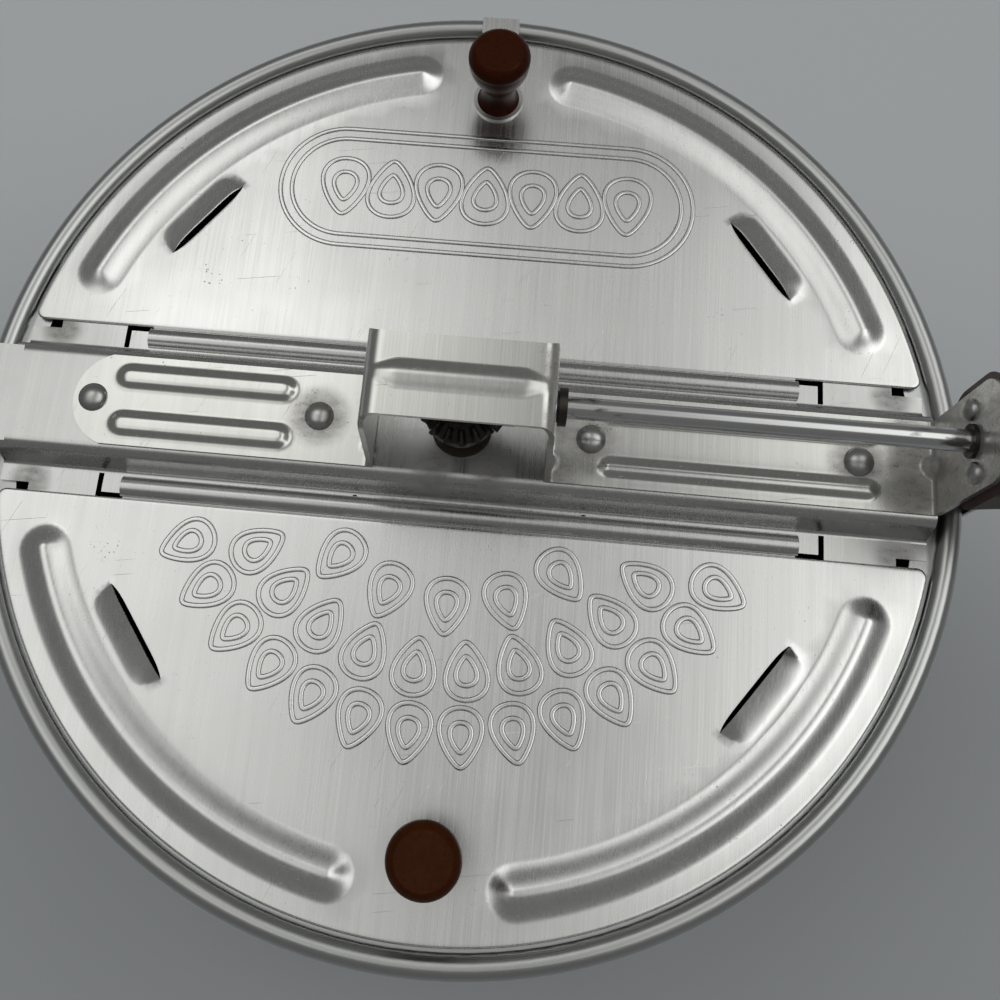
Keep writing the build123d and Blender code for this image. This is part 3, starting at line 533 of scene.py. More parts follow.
def turned_bush(name, brass, grease):
    """Brass bush under old black grease, bare only in small worn patches."""
    bush = Finish(name)
    rings = bush.line_noise(bush.z, 3000)
    bare = bush.fade(bush.noise((420, 420, 420), 4.0), 0.60, 0.75)
    colour = bush.mix(bare * 0.5, scaled(grease, 0.6), brass)
    return bush.finish(colour, 0.38 + rings * 0.14, metallic=bare * 0.6,
                       normal=bush.bump(rings, 0.00001))


def make_materials(look):
    """Every finish of the object, by the name that the pieces ask for."""
    right_leg, foot_end, plate, notch = 0.0225, 0.105, 0.1145, (0.104, 0.020)
    strip_spots = [(right_leg, y) for y in (-0.010, 0.004)]
    strip_spots += [(x, 0.0) for x in rivet_places[1:]]
    strip_spots += [(foot_end, y) for y in (-0.007, 0.0, 0.006)]
    strip_spots += [(plate, y) for y in (-0.012, -0.004, 0.004, 0.012)]
    bar_spots = [(side * notch[0], row * notch[1]) for side in (-1, 1) for row in (-1, 1)]
    bar_spots += [(-0.006, -0.010), (0.008, -0.009), (0.0, 0.0), (plate, 0.008)]
    return {
        "lid": brushed_metal("lid_metal", look.lid_metal, 0.27, [], look.grease, 0.001),
        # Metal of the raised ornament lines, with painted shade darkening their foot.
        "raised": brushed_metal("raised_metal", look.lid_metal, 0.24, [], look.grease, 0.001, door_top),
        "bar": brushed_metal("bar_metal", scaled(look.lid_metal, 0.80), 0.28, bar_spots, look.grease,
                             0.0022),
        "strip": brushed_metal("strip_metal", look.strip_metal, 0.21, strip_spots, look.grease,
                               0.0030),
        "pan": spun_metal("pan_metal", look.pan_metal, 0.30, look.heat_tint),
        "rivet": plain_metal("rivet_metal", look.rivet_metal, 0.26, 500, 0.25),
        "screw": plain_metal("screw_metal", look.screw_metal, 0.30, 700, 0.5),
        "rod": polished_rod("rod_metal", look.rod_metal, look.grease),
        "bush": plain_metal("bush_metal", look.bush_metal, 0.42, 600, 0.6),
        "gear": greasy_black("gear_metal", look.gear_black, look.gear_grease),
        "shaft_bush": turned_bush("shaft_bush_metal", look.brass, look.grease),
        "back_wood": stained_wood("back_knob_wood", look.back_wood, 2),
        "front_wood": stained_wood("front_knob_wood", look.front_wood, 2),
        "handle_wood": stained_wood("handle_wood", look.handle_wood, 0),
    }


# --- meshes ------------------------------------------------------------------------------------
class Shell:
    """Points and faces of one piece while it is built."""

    def __init__(self):
        self.points = []
        self.faces = []

    def add(self, points, faces):
        start = len(self.points)
        self.points += [tuple(point) for point in points]
        self.faces += [[start + corner for corner in face] for face in faces]

    def rows(self, rows, round_rows=True, capped=True):
        """Quads between rows of as many points each; a round row closes on itself."""
        wide = len(rows[0])
        steps = wide if round_rows else wide - 1
        faces = [(row * wide + place, row * wide + (place + 1) % wide,
                  (row + 1) * wide + (place + 1) % wide, (row + 1) * wide + place)
                 for row in range(len(rows) - 1) for place in range(steps)]
        if capped:
            faces += [tuple(range(wide))[::-1], tuple((len(rows) - 1) * wide + place
                                                      for place in range(wide))]
        self.add([point for row in rows for point in row], faces)


def clean_mesh(mesh, slivers=False):
    """Merge doubles, dissolve slivers where asked, and turn every face outward."""
    work = bmesh.new()
    work.from_mesh(mesh)
    bmesh.ops.remove_doubles(work, verts=work.verts, dist=tiny)
    if slivers:
        bmesh.ops.dissolve_degenerate(work, edges=work.edges, dist=tiny)
    bmesh.ops.recalc_face_normals(work, faces=work.faces)
    work.to_mesh(mesh)
    work.free()


def make_piece(shell, name, material, sharp=35.0):
    """A mesh object of a shell: doubles merged, faces outward, smooth except at sharp edges."""
    mesh = bpy.data.meshes.new(name)
    mesh.from_pydata(shell.points, [], shell.faces)
    clean_mesh(mesh, slivers=True)
    mesh.polygons.foreach_set("use_smooth", [True] * len(mesh.polygons))
    mesh.set_sharp_from_angle(angle=math.radians(sharp))
    mesh.materials.append(material)
    piece = bpy.data.objects.new(name, mesh)
    bpy.context.scene.collection.objects.link(piece)
    return piece


def place_piece(piece, body, slot, *nodes):
    """Let a piece ride on its body and stand for its nodes; the slot is not used."""
    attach(piece, body)
    if nodes:
        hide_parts(*nodes)


def smooth_step(value):
    value = np.clip(value, 0.0, 1.0)
    return value * value * (3 - 2 * value)


def arc_points(centre, radius, start, end, steps):
    """Points of an arc in a plane, its angles in radians."""
    return [(centre[0] + radius * math.cos(a), centre[1] + radius * math.sin(a))
            for a in np.linspace(start, end, steps)]


# --- doors -------------------------------------------------------------------------------------
class DoorShape:
    """The back door's outline and height; the front door is its mirror image."""

    def __init__(self, door):
        self.door = door
        self.radius = rim_radius - door.play
        self.edge = hinge_y + door.hinge_gap

    def outline(self, inset, step=0.002):
        """The door's outline drawn in by inset, with the way out at each point."""
        corner, radius = self.door.corner, self.radius
        middle_y = self.edge + corner
        middle_x = math.sqrt((radius - corner) ** 2 - middle_y ** 2)
        lean = math.atan2(middle_y, middle_x)
        right = arc_points((middle_x, middle_y), corner - inset, -math.pi / 2, lean, 12)
        round_steps = int((math.pi - 2 * lean) * radius / step)
        rim = arc_points((0, 0), radius - inset, lean, math.pi - lean, round_steps)[1:-1]
        left = [(-x, y) for x, y in reversed(right)]
        straight_steps = int(2 * middle_x / (2 * step))
        low = [(x, self.edge + inset) for x in np.linspace(-middle_x, middle_x, straight_steps)][1:-1]
        points = np.array(right + rim + left + low)
        ahead = np.roll(points, -1, 0) - np.roll(points, 1, 0)
        out = np.stack([ahead[:, 1], -ahead[:, 0]], 1)
        return points, out / np.linalg.norm(out, axis=1)[:, None]

    def ridge_distance(self, x, y):
        """How far a point is from the middle line of the nearer ridge."""
        door = self.door
        x = np.abs(x)
        angle = np.clip(np.arctan2(y, x), door.ridge_start, door.ridge_end)
        return np.hypot(x - door.ridge_radius * np.cos(angle), y - door.ridge_radius * np.sin(angle))

    def louver_place(self, x, y):
        """A point in the nearer louver's frame: along its slit, and out across its scoop."""
        out, along = math.cos(self.door.louver_angle), math.sin(self.door.louver_angle)
        x = np.abs(x)
        return y * out - x * along, x * out + y * along - self.door.louver_radius

    def louver_reach(self, along):
        """Width of the scoop at a place along its slit."""
        share_along = np.clip(np.abs(along) / (self.door.louver_length / 2), 0, 1)
        return self.door.louver_width * np.sqrt(np.clip(1 - share_along ** 9, 0, 1))

    def height(self, x, y):
        """Height of the pressed ridges and louvers above the flat of the door."""
        door = self.door
        away = np.clip(self.ridge_distance(x, y) / (door.ridge_width / 2), 0, 1)
        ridge = door.ridge_height * (1 - away + door.ridge_soft * np.sin(2 * math.pi * away))
        along, across = self.louver_place(x, y)
        share_along = np.clip(np.abs(along) / (door.louver_length / 2), 0, 1)
        share_across = across / np.maximum(self.louver_reach(along), tiny)
        lip = door.louver_height * (1 - share_along ** 6) ** 1.4
        slope = np.clip(1 - share_across, 0, 1) ** 1.2
        scoop = np.where((across >= -tiny) & (share_along < 1), lip * slope, 0.0)
        sag = door.sag * np.sin(x * 61 + 1.3) * np.sin(y * 73)
        return ridge + scoop + sag

    def feature_loops(self):
        """Closed loops round the ridges, and the louvers' slits, in the plane of the door."""
        door = self.door
        half = door.ridge_width / 2
        loops = []
        # from just beside the crest to just past the foot
        for away in np.linspace(0.08 * half, 1.06 * half, 11):
            start, end, radius = door.ridge_start, door.ridge_end, door.ridge_radius
            loop = arc_points((0, 0), radius + away, start, end, 54)
            for angle, side in ((end, 0.0), (start, math.pi)):
                centre = (radius * math.cos(angle), radius * math.sin(angle))
                loop += arc_points(centre, away, angle + side, angle + side + math.pi, 12)[1:-1]
                if side == 0.0:
                    loop += arc_points((0, 0), radius - away, end, start, 54)
            loops.append(loop)
        return loops

    def slit(self):
        """The louver's slit: a thin lens whose outer side carries the scoop's lip."""
        half = self.door.louver_length / 2
        along = np.linspace(-half, half, 35)
        thin = self.door.louver_gap * (1 - (along / half) ** 6)
        outer = [(a, 0.0) for a in along]
        inner = [(a, -t) for a, t in zip(along, thin)][1:-1]
        return [self.from_louver(a, b) for a, b in outer + inner[::-1]]

    def scoop_points(self):
        """Loose points that give the scoop its shape."""
        half = self.door.louver_length / 2
        points = []
        for along in np.linspace(-half * 0.985, half * 0.985, 41):
            reach = float(self.louver_reach(along))
            for part in np.linspace(0.12, 1.0, 9):
                points.append(self.from_louver(along, reach * part))
        return points

    def louver_ring(self):
        """A loop just outside the scoop, which keeps its bend from spreading over the flat."""
        half, clear = self.door.louver_length / 2, 2 * self.door.louver_gap
        sweep = np.linspace(0, math.pi, 40)
        outer = [(-(half + clear) * math.cos(a), (self.door.louver_width + clear) * math.sin(a) ** 0.4)
                 for a in sweep]
        return [self.from_louver(a, b) for a, b in outer] + [
            self.from_louver(a, -clear) for a in np.linspace(half + clear, -half - clear, 14)]

    def flat_points(self):
        """Loose points all over the flat of the door, clear of everything pressed into it."""
        clear = 2.5 * self.door.louver_gap
        inside, _ = self.outline(clear)
        spots = np.arange(-self.radius, self.radius, self.door.mesh_step)
        grid = np.array([(x, y) for x in spots for y in spots if y > self.edge])
        grid = grid[in_loop(grid, inside)]
        knob_place = np.array(knob_centre("back"))
        kept = self.ridge_distance(grid[:, 0], grid[:, 1]) > self.door.ridge_width / 2 + clear
        kept &= np.hypot(*(grid - knob_place).T) > self.door.knob_hole + clear
        along, across = self.louver_place(grid[:, 0], grid[:, 1])
        near_louver = np.abs(along) < self.door.louver_length / 2 + clear
        kept &= ~(near_louver & (across > -clear) & (across < self.door.louver_width + clear))
        return [tuple(point) for point in grid[kept]]

    def from_louver(self, along, across):
        out, side = math.cos(self.door.louver_angle), math.sin(self.door.louver_angle)
        radial = self.door.louver_radius + across
        return (radial * out - along * side, radial * side + along * out)


def knob_centre(side):
    """Where a knob stands on its door."""
    low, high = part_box(f"knob_{side}")
    return (low.x + high.x) / 2, (low.y + high.y) / 2


def in_loop(points, loop):
    """Which points lie inside a closed loop."""
    loop = np.asarray(loop)
    x, y = points[:, 0], points[:, 1]
    inside = np.zeros(len(points), bool)
    for (ax, ay), (bx, by) in zip(loop, np.roll(loop, -1, 0)):
        crosses = (ay > y) != (by > y)
        if ay != by:
            inside ^= crosses & (x < (bx - ax) * (y - ay) / (by - ay) + ax)
    return inside


def door_sheet(shape):
    """The door's pressed sheet with its slits, rounded edge and turned-down lip."""
    door = shape.door
    rounding = door.sheet
    flat, _ = shape.outline(rounding)
    _, out = shape.outline(0.0)
    loops = shape.feature_loops()
    slits = [shape.slit()]
    hole = arc_points(knob_centre("back"), door.knob_hole, 0, 2 * math.pi, 25)[:-1]
    loops.append(shape.louver_ring())
    loops += [[(-x, y) for x, y in loop] for loop in loops]
    loops.append([tuple(point) for point in shape.outline(2 * rounding)[0]])
    slits += [[(-x, y) for x, y in slits[0]]]
    loose = shape.scoop_points()
    loose += [(-x, y) for x, y in loose] + shape.flat_points()
    points, edges = [], []
    for loop in [list(map(tuple, flat))] + loops + slits + [hole]:
        start = len(points)
        points += loop
        edges += [(start + n, start + (n + 1) % len(loop)) for n in range(len(loop))]
    points += loose
    corners, _, faces, *_ = delaunay_2d_cdt(points, edges, [], 0, 1e-7, False)
    corners = np.array([tuple(corner) for corner in corners])
    faces = np.array(faces)
    middles = corners[faces].mean(1)
    kept = in_loop(middles, flat)
    for opening in slits + [hole]:
        kept &= ~in_loop(middles, opening)
    faces = faces[kept]
    height = shape.height(corners[:, 0], corners[:, 1])
    return corners, faces, height, flat, out


def build_door(shape, side):
    """Shell of a door; side is 1 for the back door and -1 for the front one."""
    door = shape.door
    corners, faces, height, flat, out = door_sheet(shape)
    shell = Shell()
    tops = [(x, y, door_top + h) for (x, y), h in zip(corners, height)]
    shell.add(tops, faces)
    shell.add([(x, y, z - door.sheet) for x, y, z in tops], faces[:, ::-1])
    counted = {}
    for face in faces:
        for a, b in zip(face, np.roll(face, -1)):
            counted[(a, b)] = counted.get((a, b), 0) + 1
    on_flat = {tuple(np.round(point, 6)) for point in flat}
    for a, b in counted:
        if (b, a) in counted:
            continue
        if tuple(np.round(corners[a], 6)) in on_flat and tuple(np.round(corners[b], 6)) in on_flat:
            continue
        low = [(*tops[n][:2], tops[n][2] - door.sheet) for n in (a, b)]
        shell.add([tops[b], tops[a], low[0], low[1]], [(0, 1, 2, 3)])
    add_door_edge(shell, shape, flat, out)
    add_hook(shell, door)
    if side < 0:
        shell.points = [(x, -y, z) for x, y, z in shell.points]
        shell.faces = [face[::-1] for face in shell.faces]
    return shell


def add_door_edge(shell, shape, flat, out):
    """Round the door's edge over, and turn it down into a lip away from the hinge."""
    door = shape.door
    top = door_top + shape.height(flat[:, 0], flat[:, 1])
    lip_start = shape.edge + door.lip_inset
    turned_down = smooth_step((flat[:, 1] - lip_start) / (door.lip_inset / 7))
    plain_depth = door.sheet * 1.05
    depth = plain_depth + (door.lip - plain_depth) * turned_down
    rows = []
    for angle in np.linspace(0, math.pi / 2, 6):
        reach, drop = door.sheet * math.sin(angle), door.sheet * (1 - math.cos(angle))
        rows.append(np.column_stack([flat + out * reach, top - drop]))
    rows.append(np.column_stack([flat + out * door.sheet, top - depth]))
    rows.append(np.column_stack([flat, top - depth]))
    rows.append(np.column_stack([flat, top - door.sheet]))
    shell.rows([row.tolist() for row in rows], capped=False)


def add_hook(shell, door):
    """The hook that wraps round the hinge bead from below."""
    inner, outer = door.hook_gap, door.hook_gap + door.sheet
    start = math.asin((door_top - hinge_z) / outer)
    turns = np.linspace(start, -door.hook_wrap, 34)
    section = [(hinge_y + outer * math.cos(a), hinge_z + outer * math.sin(a)) for a in turns]
    section += [(hinge_y + inner * math.cos(a), hinge_z + inner * math.sin(a)) for a in turns[::-1]]
    half = door.hook_length / 2
    shell.rows([[(x, y, z) for y, z in section] for x in (-half, half)])


def add_lift_tab(shell, shape):
    """Tab that steps up from the back door and lies over the rolled rim."""
    door = shape.door
    _, high_y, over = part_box("door_back")[1]
    thick = door.sheet
    line = [(shape.radius - 3 * thick, door_top), (shape.radius - 0.6 * thick, door_top),
            (shape.radius + 0.9 * thick, over), (high_y - 0.4 * thick, over),
            (high_y, over - 0.5 * thick)]
    lower = [(shape.radius - 3 * thick, door_top - thick), (shape.radius, door_top - thick),
             (shape.radius + 1.6 * thick, over - thick), (high_y - 0.9 * thick, over - thick),
             (high_y - 0.6 * thick, over - 1.2 * thick)]
    section = line + lower[::-1]
    half = door.tab_width / 2
    shell.rows([[(x, y, z) for y, z in section] for x in (-half, half)])


class POPPER_OT_doors(Operator):
    """Build both half-round doors with their ridges, louvers and hinge hooks"""

    bl_idname = "popper.doors"
    bl_label = "Doors"

    def execute(self, context):
        shape = DoorShape(context.scene.popper_door)
        for side, name in ((1, "back"), (-1, "front")):
            shell = build_door(shape, side)
            if side > 0:
                add_lift_tab(shell, shape)
            piece = make_piece(shell, f"{name}_door_sheet", finishes["lid"], 30.0)
            place_piece(piece, f"{name}_door", "lid_aluminium", f"door_{name}")
        return {"FINISHED"}


# --- the ornament pressed into the doors ---------------------------------------------------------
class Pattern(Nodes):
    """A geometry tree with named inputs, used on one base object at a time."""

    def __init__(self, name, inputs):
        super().__init__(bpy.data.node_groups.new(name, "GeometryNodeTree"))
        self.tree.interface.new_socket("Geometry", in_out="INPUT", socket_type="NodeSocketGeometry")
        for title, kind, value in inputs:
            socket = self.tree.interface.new_socket(title, in_out="INPUT", socket_type=kind)
            if value is not None:
                socket.default_value = value
        self.tree.interface.new_socket("Geometry", in_out="OUTPUT", socket_type="NodeSocketGeometry")
        self.given = self.tree.nodes.new("NodeGroupInput")

    def take(self, title):
        """One of the tree's inputs."""
        return Wire(self, self.given.outputs[title])

    def close(self, geometry):
        """End the tree: real geometry, with its material."""
        real = self.add("GeometryNodeRealizeInstances", None, {0: geometry})
        painted = self.add("GeometryNodeSetMaterial", None, {0: real, "Material": self.take("Finish")})
        output = self.tree.nodes.new("NodeGroupOutput")
        self.tree.links.new(painted.socket, output.inputs[0])


def length_inputs(group, *names):
    """Inputs of a tree that take their names and defaults from a settings group."""
    labels = group.bl_rna.properties
    return [(labels[name].name, "NodeSocketFloat", getattr(group, name)) for name in names]


def drop_tree(group):
    """Outlines of a drop, one inside the other, on every point of the base, swept as raised lines."""
    inputs = length_inputs(group, "line_width", "line_height", "drop_length", "drop_width",
                           "inner_share")
    tree = Pattern("drop_outlines", inputs + [("Finish", "NodeSocketMaterial", None)])
    ring = tree.add("GeometryNodeCurvePrimitiveCircle", None, {"Resolution": 44, "Radius": 1.0})
    x, y, _ = tree.split(tree.add("GeometryNodeInputPosition"))
    lean = ((1.55 - x) * 0.5) ** 0.62  # narrower towards the tip, at x = 1
    drop = tree.join(x * tree.take("Drop Length") * 0.5, y * lean * tree.take("Drop Width") * 0.56, 0.0)
    outline = tree.add("GeometryNodeSetPosition", None, {"Geometry": ring, "Position": drop})
    heading = tree.add("GeometryNodeInputNamedAttribute", {"data_type": "FLOAT_VECTOR"},
                       {"Name": "heading"})
    grow = tree.add("GeometryNodeInputNamedAttribute", {"data_type": "FLOAT"}, {"Name": "grow"})
    points = tree.add("GeometryNodeMeshToPoints", None, {"Mesh": tree.take("Geometry")})
    both = tree.tree.nodes.new("GeometryNodeJoinGeometry")
    for part in (1.0, tree.take("Inner Drop")):
        put = tree.add("GeometryNodeInstanceOnPoints", None,
                       {"Points": points, "Instance": outline, "Rotation": heading,
                        "Scale": tree.join(grow * part, grow * part, 1.0)})
        tree.tree.links.new(put.socket, both.inputs[0])
    lines = tree.add("GeometryNodeRealizeInstances", None, {0: Wire(tree, both.outputs[0])})
    tree.close(raised_line(tree, lines))
    return tree.tree


def raised_line(tree, lines):
    """Sweep a low, flat-topped section along curves that lie flat."""
    ring = tree.add("GeometryNodeCurvePrimitiveCircle", None, {"Resolution": 20, "Radius": 1.0})
    x, y, _ = tree.split(tree.add("GeometryNodeInputPosition"))
    upper = tree.math("GREATER_THAN", y, -0.01)
    sunk = 0.12  # share of the height that lies below the sheet's top
    up = sunk - (1.0 - (x * x) ** 3.0) * upper
    section = tree.join(x * tree.take("Line Width") * 0.5, up * tree.take("Line Height"), 0.0)
    profile = tree.add("GeometryNodeSetPosition", None, {"Geometry": ring, "Position": section})
    upright = tree.add("GeometryNodeSetCurveNormal", {"mode": "Z_UP"}, {"Curve": lines})
    swept = tree.add("GeometryNodeCurveToMesh", None, {"Curve": upright, "Profile Curve": profile})
    return tree.add("GeometryNodeSetShadeSmooth", None, {"Geometry": swept})


def border_tree(group):
    """Raised lines along the edges of the base."""
    inputs = length_inputs(group, "line_width", "line_height")
    tree = Pattern("border_lines", inputs + [("Finish", "NodeSocketMaterial", None)])
    lines = tree.add("GeometryNodeMeshToCurve", None, {"Mesh": tree.take("Geometry")})
    tree.close(raised_line(tree, lines))
    return tree.tree


def base_object(name, points, edges=(), **attributes):
    """A base of points and edges for a tree, with named values on its points."""
    mesh = bpy.data.meshes.new(name)
    mesh.from_pydata(points, edges, [])
    for title, values in attributes.items():
        values = np.asarray(values, np.float32)
        kind, key = ("FLOAT_VECTOR", "vector") if values.ndim == 2 else ("FLOAT", "value")
        mesh.attributes.new(title, kind, "POINT").data.foreach_set(key, values.ravel())
    base = bpy.data.objects.new(name, mesh)
    bpy.context.scene.collection.objects.link(base)
    return base


def grown(base, tree, group, finish, **values):
    """Run a tree on its base and keep the result as a plain mesh, closed and facing outward."""
    modifier = base.modifiers.new("pattern", "NODES")
    modifier.node_group = tree
    labels = {p.name: name for name, p in group.bl_rna.properties.items()}
    for item in tree.interface.items_tree:
        if item.in_out != "INPUT":
            continue
        if item.name in labels:
            modifier[item.identifier] = getattr(group, labels[item.name])
        elif item.name in values:
            modifier[item.identifier] = values[item.name]
        elif item.name == "Finish":
            modifier[item.identifier] = finish
    depsgraph = bpy.context.evaluated_depsgraph_get()
    mesh = bpy.data.meshes.new_from_object(base.evaluated_get(depsgraph))
    base.modifiers.remove(modifier)
    old = base.data
    base.data = mesh
    bpy.data.meshes.remove(old)
    clean_mesh(mesh)
    return base


def stadium(length, radius, middle):
    """Closed outline with two straight sides and round ends."""
    right = arc_points((length / 2, middle), radius, -math.pi / 2, math.pi / 2, 32)
    left = arc_points((-length / 2, middle), radius, math.pi / 2, 1.5 * math.pi, 32)
    return right + left


def fan_of_drops(group):
    """Arcs of drops round the lid's middle, in the front half: place and heading of each."""
    places, headings = [], []
    for row in range(group.fan_rows):
        radius = group.fan_radius + row * group.fan_step
        margin = math.asin(group.fan_clear / radius)
        spread = math.pi - 2 * margin
        number = int(spread * radius / group.fan_pitch)
        for angle in np.linspace(margin, math.pi - margin, number):
            if abs(radius * math.cos(angle)) > group.fan_half_width:
                continue
            places.append((radius * math.cos(angle), -radius * math.sin(angle), door_top))
            headings.append((0.0, 0.0, -angle + math.pi * (row % 2)))
    return places, headings


class POPPER_OT_ornament(Operator):
    """Press a fan of drops into the front door and a bordered plaque into the back door"""

    bl_idname = "popper.ornament"
    bl_label = "Ornament"

    def execute(self, context):
        group = context.scene.popper_ornament
        drops = drop_tree(group)
        places, headings = fan_of_drops(group)
        self.press("front_door_ornament", "front_door", drops, group, places,
                   heading=headings, grow=[1.0] * len(places))
        points, edges = [], []
        for inset in (0.0, group.border_gap):
            start = len(points)
            loop = stadium(group.plaque_length, group.plaque_radius - inset, group.plaque_place)
            points += [(x, y, door_top) for x, y in loop]
            edges += [(start + n, start + (n + 1) % len(loop)) for n in range(len(loop))]
        self.press("back_door_border", "back_door", border_tree(group), group, points, edges)
        across = np.linspace(-0.5, 0.5, group.plaque_drops) * group.plaque_length
        row = [(x, group.plaque_place, door_top) for x in across]
        turns = [(0.0, 0.0, math.pi / 2 * (1 if n % 2 else -1)) for n in range(len(row))]
        self.press("back_door_ornament", "back_door", drops, group, row,
                   heading=turns, grow=[group.plaque_growth] * len(row))
        return {"FINISHED"}

    def press(self, name, body, tree, group, points, edges=(), **attributes):
        """Grow one set of raised lines and let it ride on its door."""
        # The raised lines take the metal with painted shade at their foot.
        piece = grown(base_object(name, points, edges, **attributes), tree, group, finishes["raised"])
        place_piece(piece, body, "lid_aluminium")


# --- gear bracket ------------------------------------------------------------------------------
def bent_line(points, radius, step):
    """Points and left-hand normals along a line of straights joined by arcs."""
    points = [np.array(point, float) for point in points]
    line = [points[0]]
    for before, here, after in zip(points, points[1:], points[2:]):
        into = (here - before) / np.linalg.norm(here - before)
        out = (after - here) / np.linalg.norm(after - here)
        angle = math.acos(np.clip(into @ out, -1, 1))
        trim = radius * math.tan(angle / 2)
        side = math.copysign(1.0, into[0] * out[1] - into[1] * out[0])
        start = here - into * trim
        centre = start + radius * side * np.array([-into[1], into[0]])
        reach = start - centre
        line.append(start)
        for turned in np.linspace(0, side * angle, 9)[1:]:
            c, s = math.cos(turned), math.sin(turned)
            line.append(centre + np.array([c * reach[0] - s * reach[1], s * reach[0] + c * reach[1]]))
    line.append(points[-1])
    fine = [line[0]]
    for a, b in zip(line, line[1:]):
        parts = max(1, math.ceil(np.linalg.norm(b - a) / step))
        fine += [a + (b - a) * (n + 1) / parts for n in range(parts)]
    fine = np.array(fine)
    ahead = np.gradient(fine, axis=0)
    ahead /= np.linalg.norm(ahead, axis=1)[:, None]
    return fine, np.column_stack([-ahead[:, 1], ahead[:, 0]])


def capsule(x, y, start, end, middle, half_width, slope, pointed=0.0):
    """1 on top of a long rib along X, falling to 0 over its sloping sides and ends."""
    if pointed:
        centre, half_length = (start + end) / 2, (end - start) / 2
        taper = np.clip((half_length - np.abs(x - centre)) / pointed, 0, 1)
        away = np.abs(y - middle) / np.maximum(half_width * taper ** 0.7, tiny)
        return np.cos(np.clip(away, 0, 1) * math.pi / 2) ** 1.3 * smooth_step(taper)
    nearest = np.clip(x, start + half_width, end - half_width)
    return smooth_step((half_width - np.hypot(x - nearest, y - middle)) / slope)


def bracket_relief(group, x, y, z):
    """Height of the pressed ribs at points of the strip."""
    feet = bar_top + group.sheet
    crown = feet + group.housing_height
    on_foot = np.abs(z - feet) < 2 * group.sheet
    on_crown = np.abs(z - crown) < 2 * group.sheet
    relief = np.zeros_like(x)
    for row in (-1, 1):
        for start, end, spacing, width in (
                (*left_ribs, group.left_rib_spacing, group.left_rib_width),
                (*right_ribs, group.right_rib_spacing, group.right_rib_width)):
            rib = capsule(x, y, start, end, row * spacing / 2, width / 2, group.rib_slope)
            relief += group.rib_height * rib * on_foot
    half = group.housing_width / 2
    top = capsule(x, y, -half, half, 0.0, group.crown_width / 2, group.rib_slope, group.crown_taper)
    return relief + group.crown_height * top * on_crown


def strip_half_width(group, x, z):
    """Half the strip's width: full, but for the round left end and the plate's round corners."""
    half = bracket_high.y
    depth, corner = group.end_depth, group.plate_corner
    arc = (half ** 2 + depth ** 2) / (2 * depth)
    into = np.clip(x - bracket_low.x, 0, depth)
    rounded = np.sqrt(np.clip(arc ** 2 - (arc - into) ** 2, 0, None))
    above = np.clip(z - (bracket_high.z - corner), 0, corner)
    plate = half - corner + np.sqrt(corner ** 2 - above ** 2)
    return np.minimum(half, np.minimum(rounded, plate))


def build_bracket(group):
    """Shell of the bracket: one strip bent into two feet, the gear housing and the handle plate."""
    inner, under = group.housing_width / 2 - group.sheet, bar_top + group.housing_height
    far = bracket_high.x
    line, normals = bent_line(
        [(bracket_low.x, bar_top), (-inner - group.splay, bar_top), (-inner, under), (inner, under),
         (inner + group.splay, bar_top), (far, bar_top), (far, bracket_high.z)],
        group.bend, group.step)
    end_rows = 12
    ends = bracket_low.x + group.end_depth * (1 - np.cos(np.linspace(0, math.pi / 2, end_rows)))
    first = int(np.searchsorted(line[:, 0], ends[-1]))
    line = np.vstack([np.column_stack([ends, np.full(end_rows, bar_top)]), line[first:]])
    normals = np.vstack([np.tile(normals[0], (end_rows, 1)), normals[first:]])
    across = np.linspace(-1, 1, 49)
    rows = []
    leg_foot = group.housing_width / 2 + group.splay
    folds = [((side * leg_foot, row * group.gusset_spacing / 2), 1.0)
             for side in (-1, 1) for row in (-1, 1)] + [((far - group.sheet, 0.0), group.plate_gusset)]
    for (x, z), normal in zip(line, normals):
        half = float(strip_half_width(group, x, z))
        y = across * half
        low = np.column_stack([np.full_like(y, x), y, np.full_like(y, z)])
        high = low + group.sheet * np.array([normal[0], 0, normal[1]])
        relief = bracket_relief(group, high[:, 0], y, high[:, 2])
        push = np.column_stack([relief * normal[0], np.zeros_like(y), relief * normal[1]])
        low, high = low + push, high + push
        for (fold_x, fold_y), reach in folds:
            centre = np.array([fold_x, fold_y, bar_top + group.sheet])
            lean = np.array([math.copysign(0.7, fold_x) * (1 if reach == 1.0 else -1), 0, 0.7])
            away = np.linalg.norm(high - centre, axis=1) / (group.gusset_radius * reach)
            dent = group.gusset_height * reach ** 2 * np.clip(1 - away ** 2, 0, 1) ** 2
            high = high + dent[:, None] * lean
            low = low + dent[:, None] * lean
        rows.append(np.vstack([high, low[::-1]]).tolist())
    shell = Shell()
    shell.rows(rows, capped=False)
    wide = len(across)
    for row in (rows[0], rows[-1]):
        shell.rows([row[:wide], row[wide:][::-1]], round_rows=False, capped=False)
    return shell


class POPPER_OT_bracket(Operator):
    """Build the gear bracket with its pressed ribs, folds and handle plate"""

    bl_idname = "popper.bracket"
    bl_label = "Gear Bracket"

    def execute(self, context):
        group = context.scene.popper_bracket
        piece = make_piece(build_bracket(group), "gear_bracket_strip", finishes["strip"], 40.0)
        place_piece(piece, "root", "bracket_steel", "gear_bracket")
        return {"FINISHED"}


# --- rivets and screws -------------------------------------------------------------------------
def dome(tree, radius, height, upward):
    """Half a flattened ball on the XY plane."""
    ball = tree.add("GeometryNodeMeshUVSphere", None, {"Segments": 40, "Rings": 24, "Radius": 1.0})
    x, y, z = tree.split(tree.add("GeometryNodeInputPosition"))
    up = tree.math("MAXIMUM" if upward else "MINIMUM", z * height, 0.0)
    return tree.add("GeometryNodeSetPosition", None,
                    {"Geometry": ball, "Position": tree.join(x * radius, y * radius, up)})


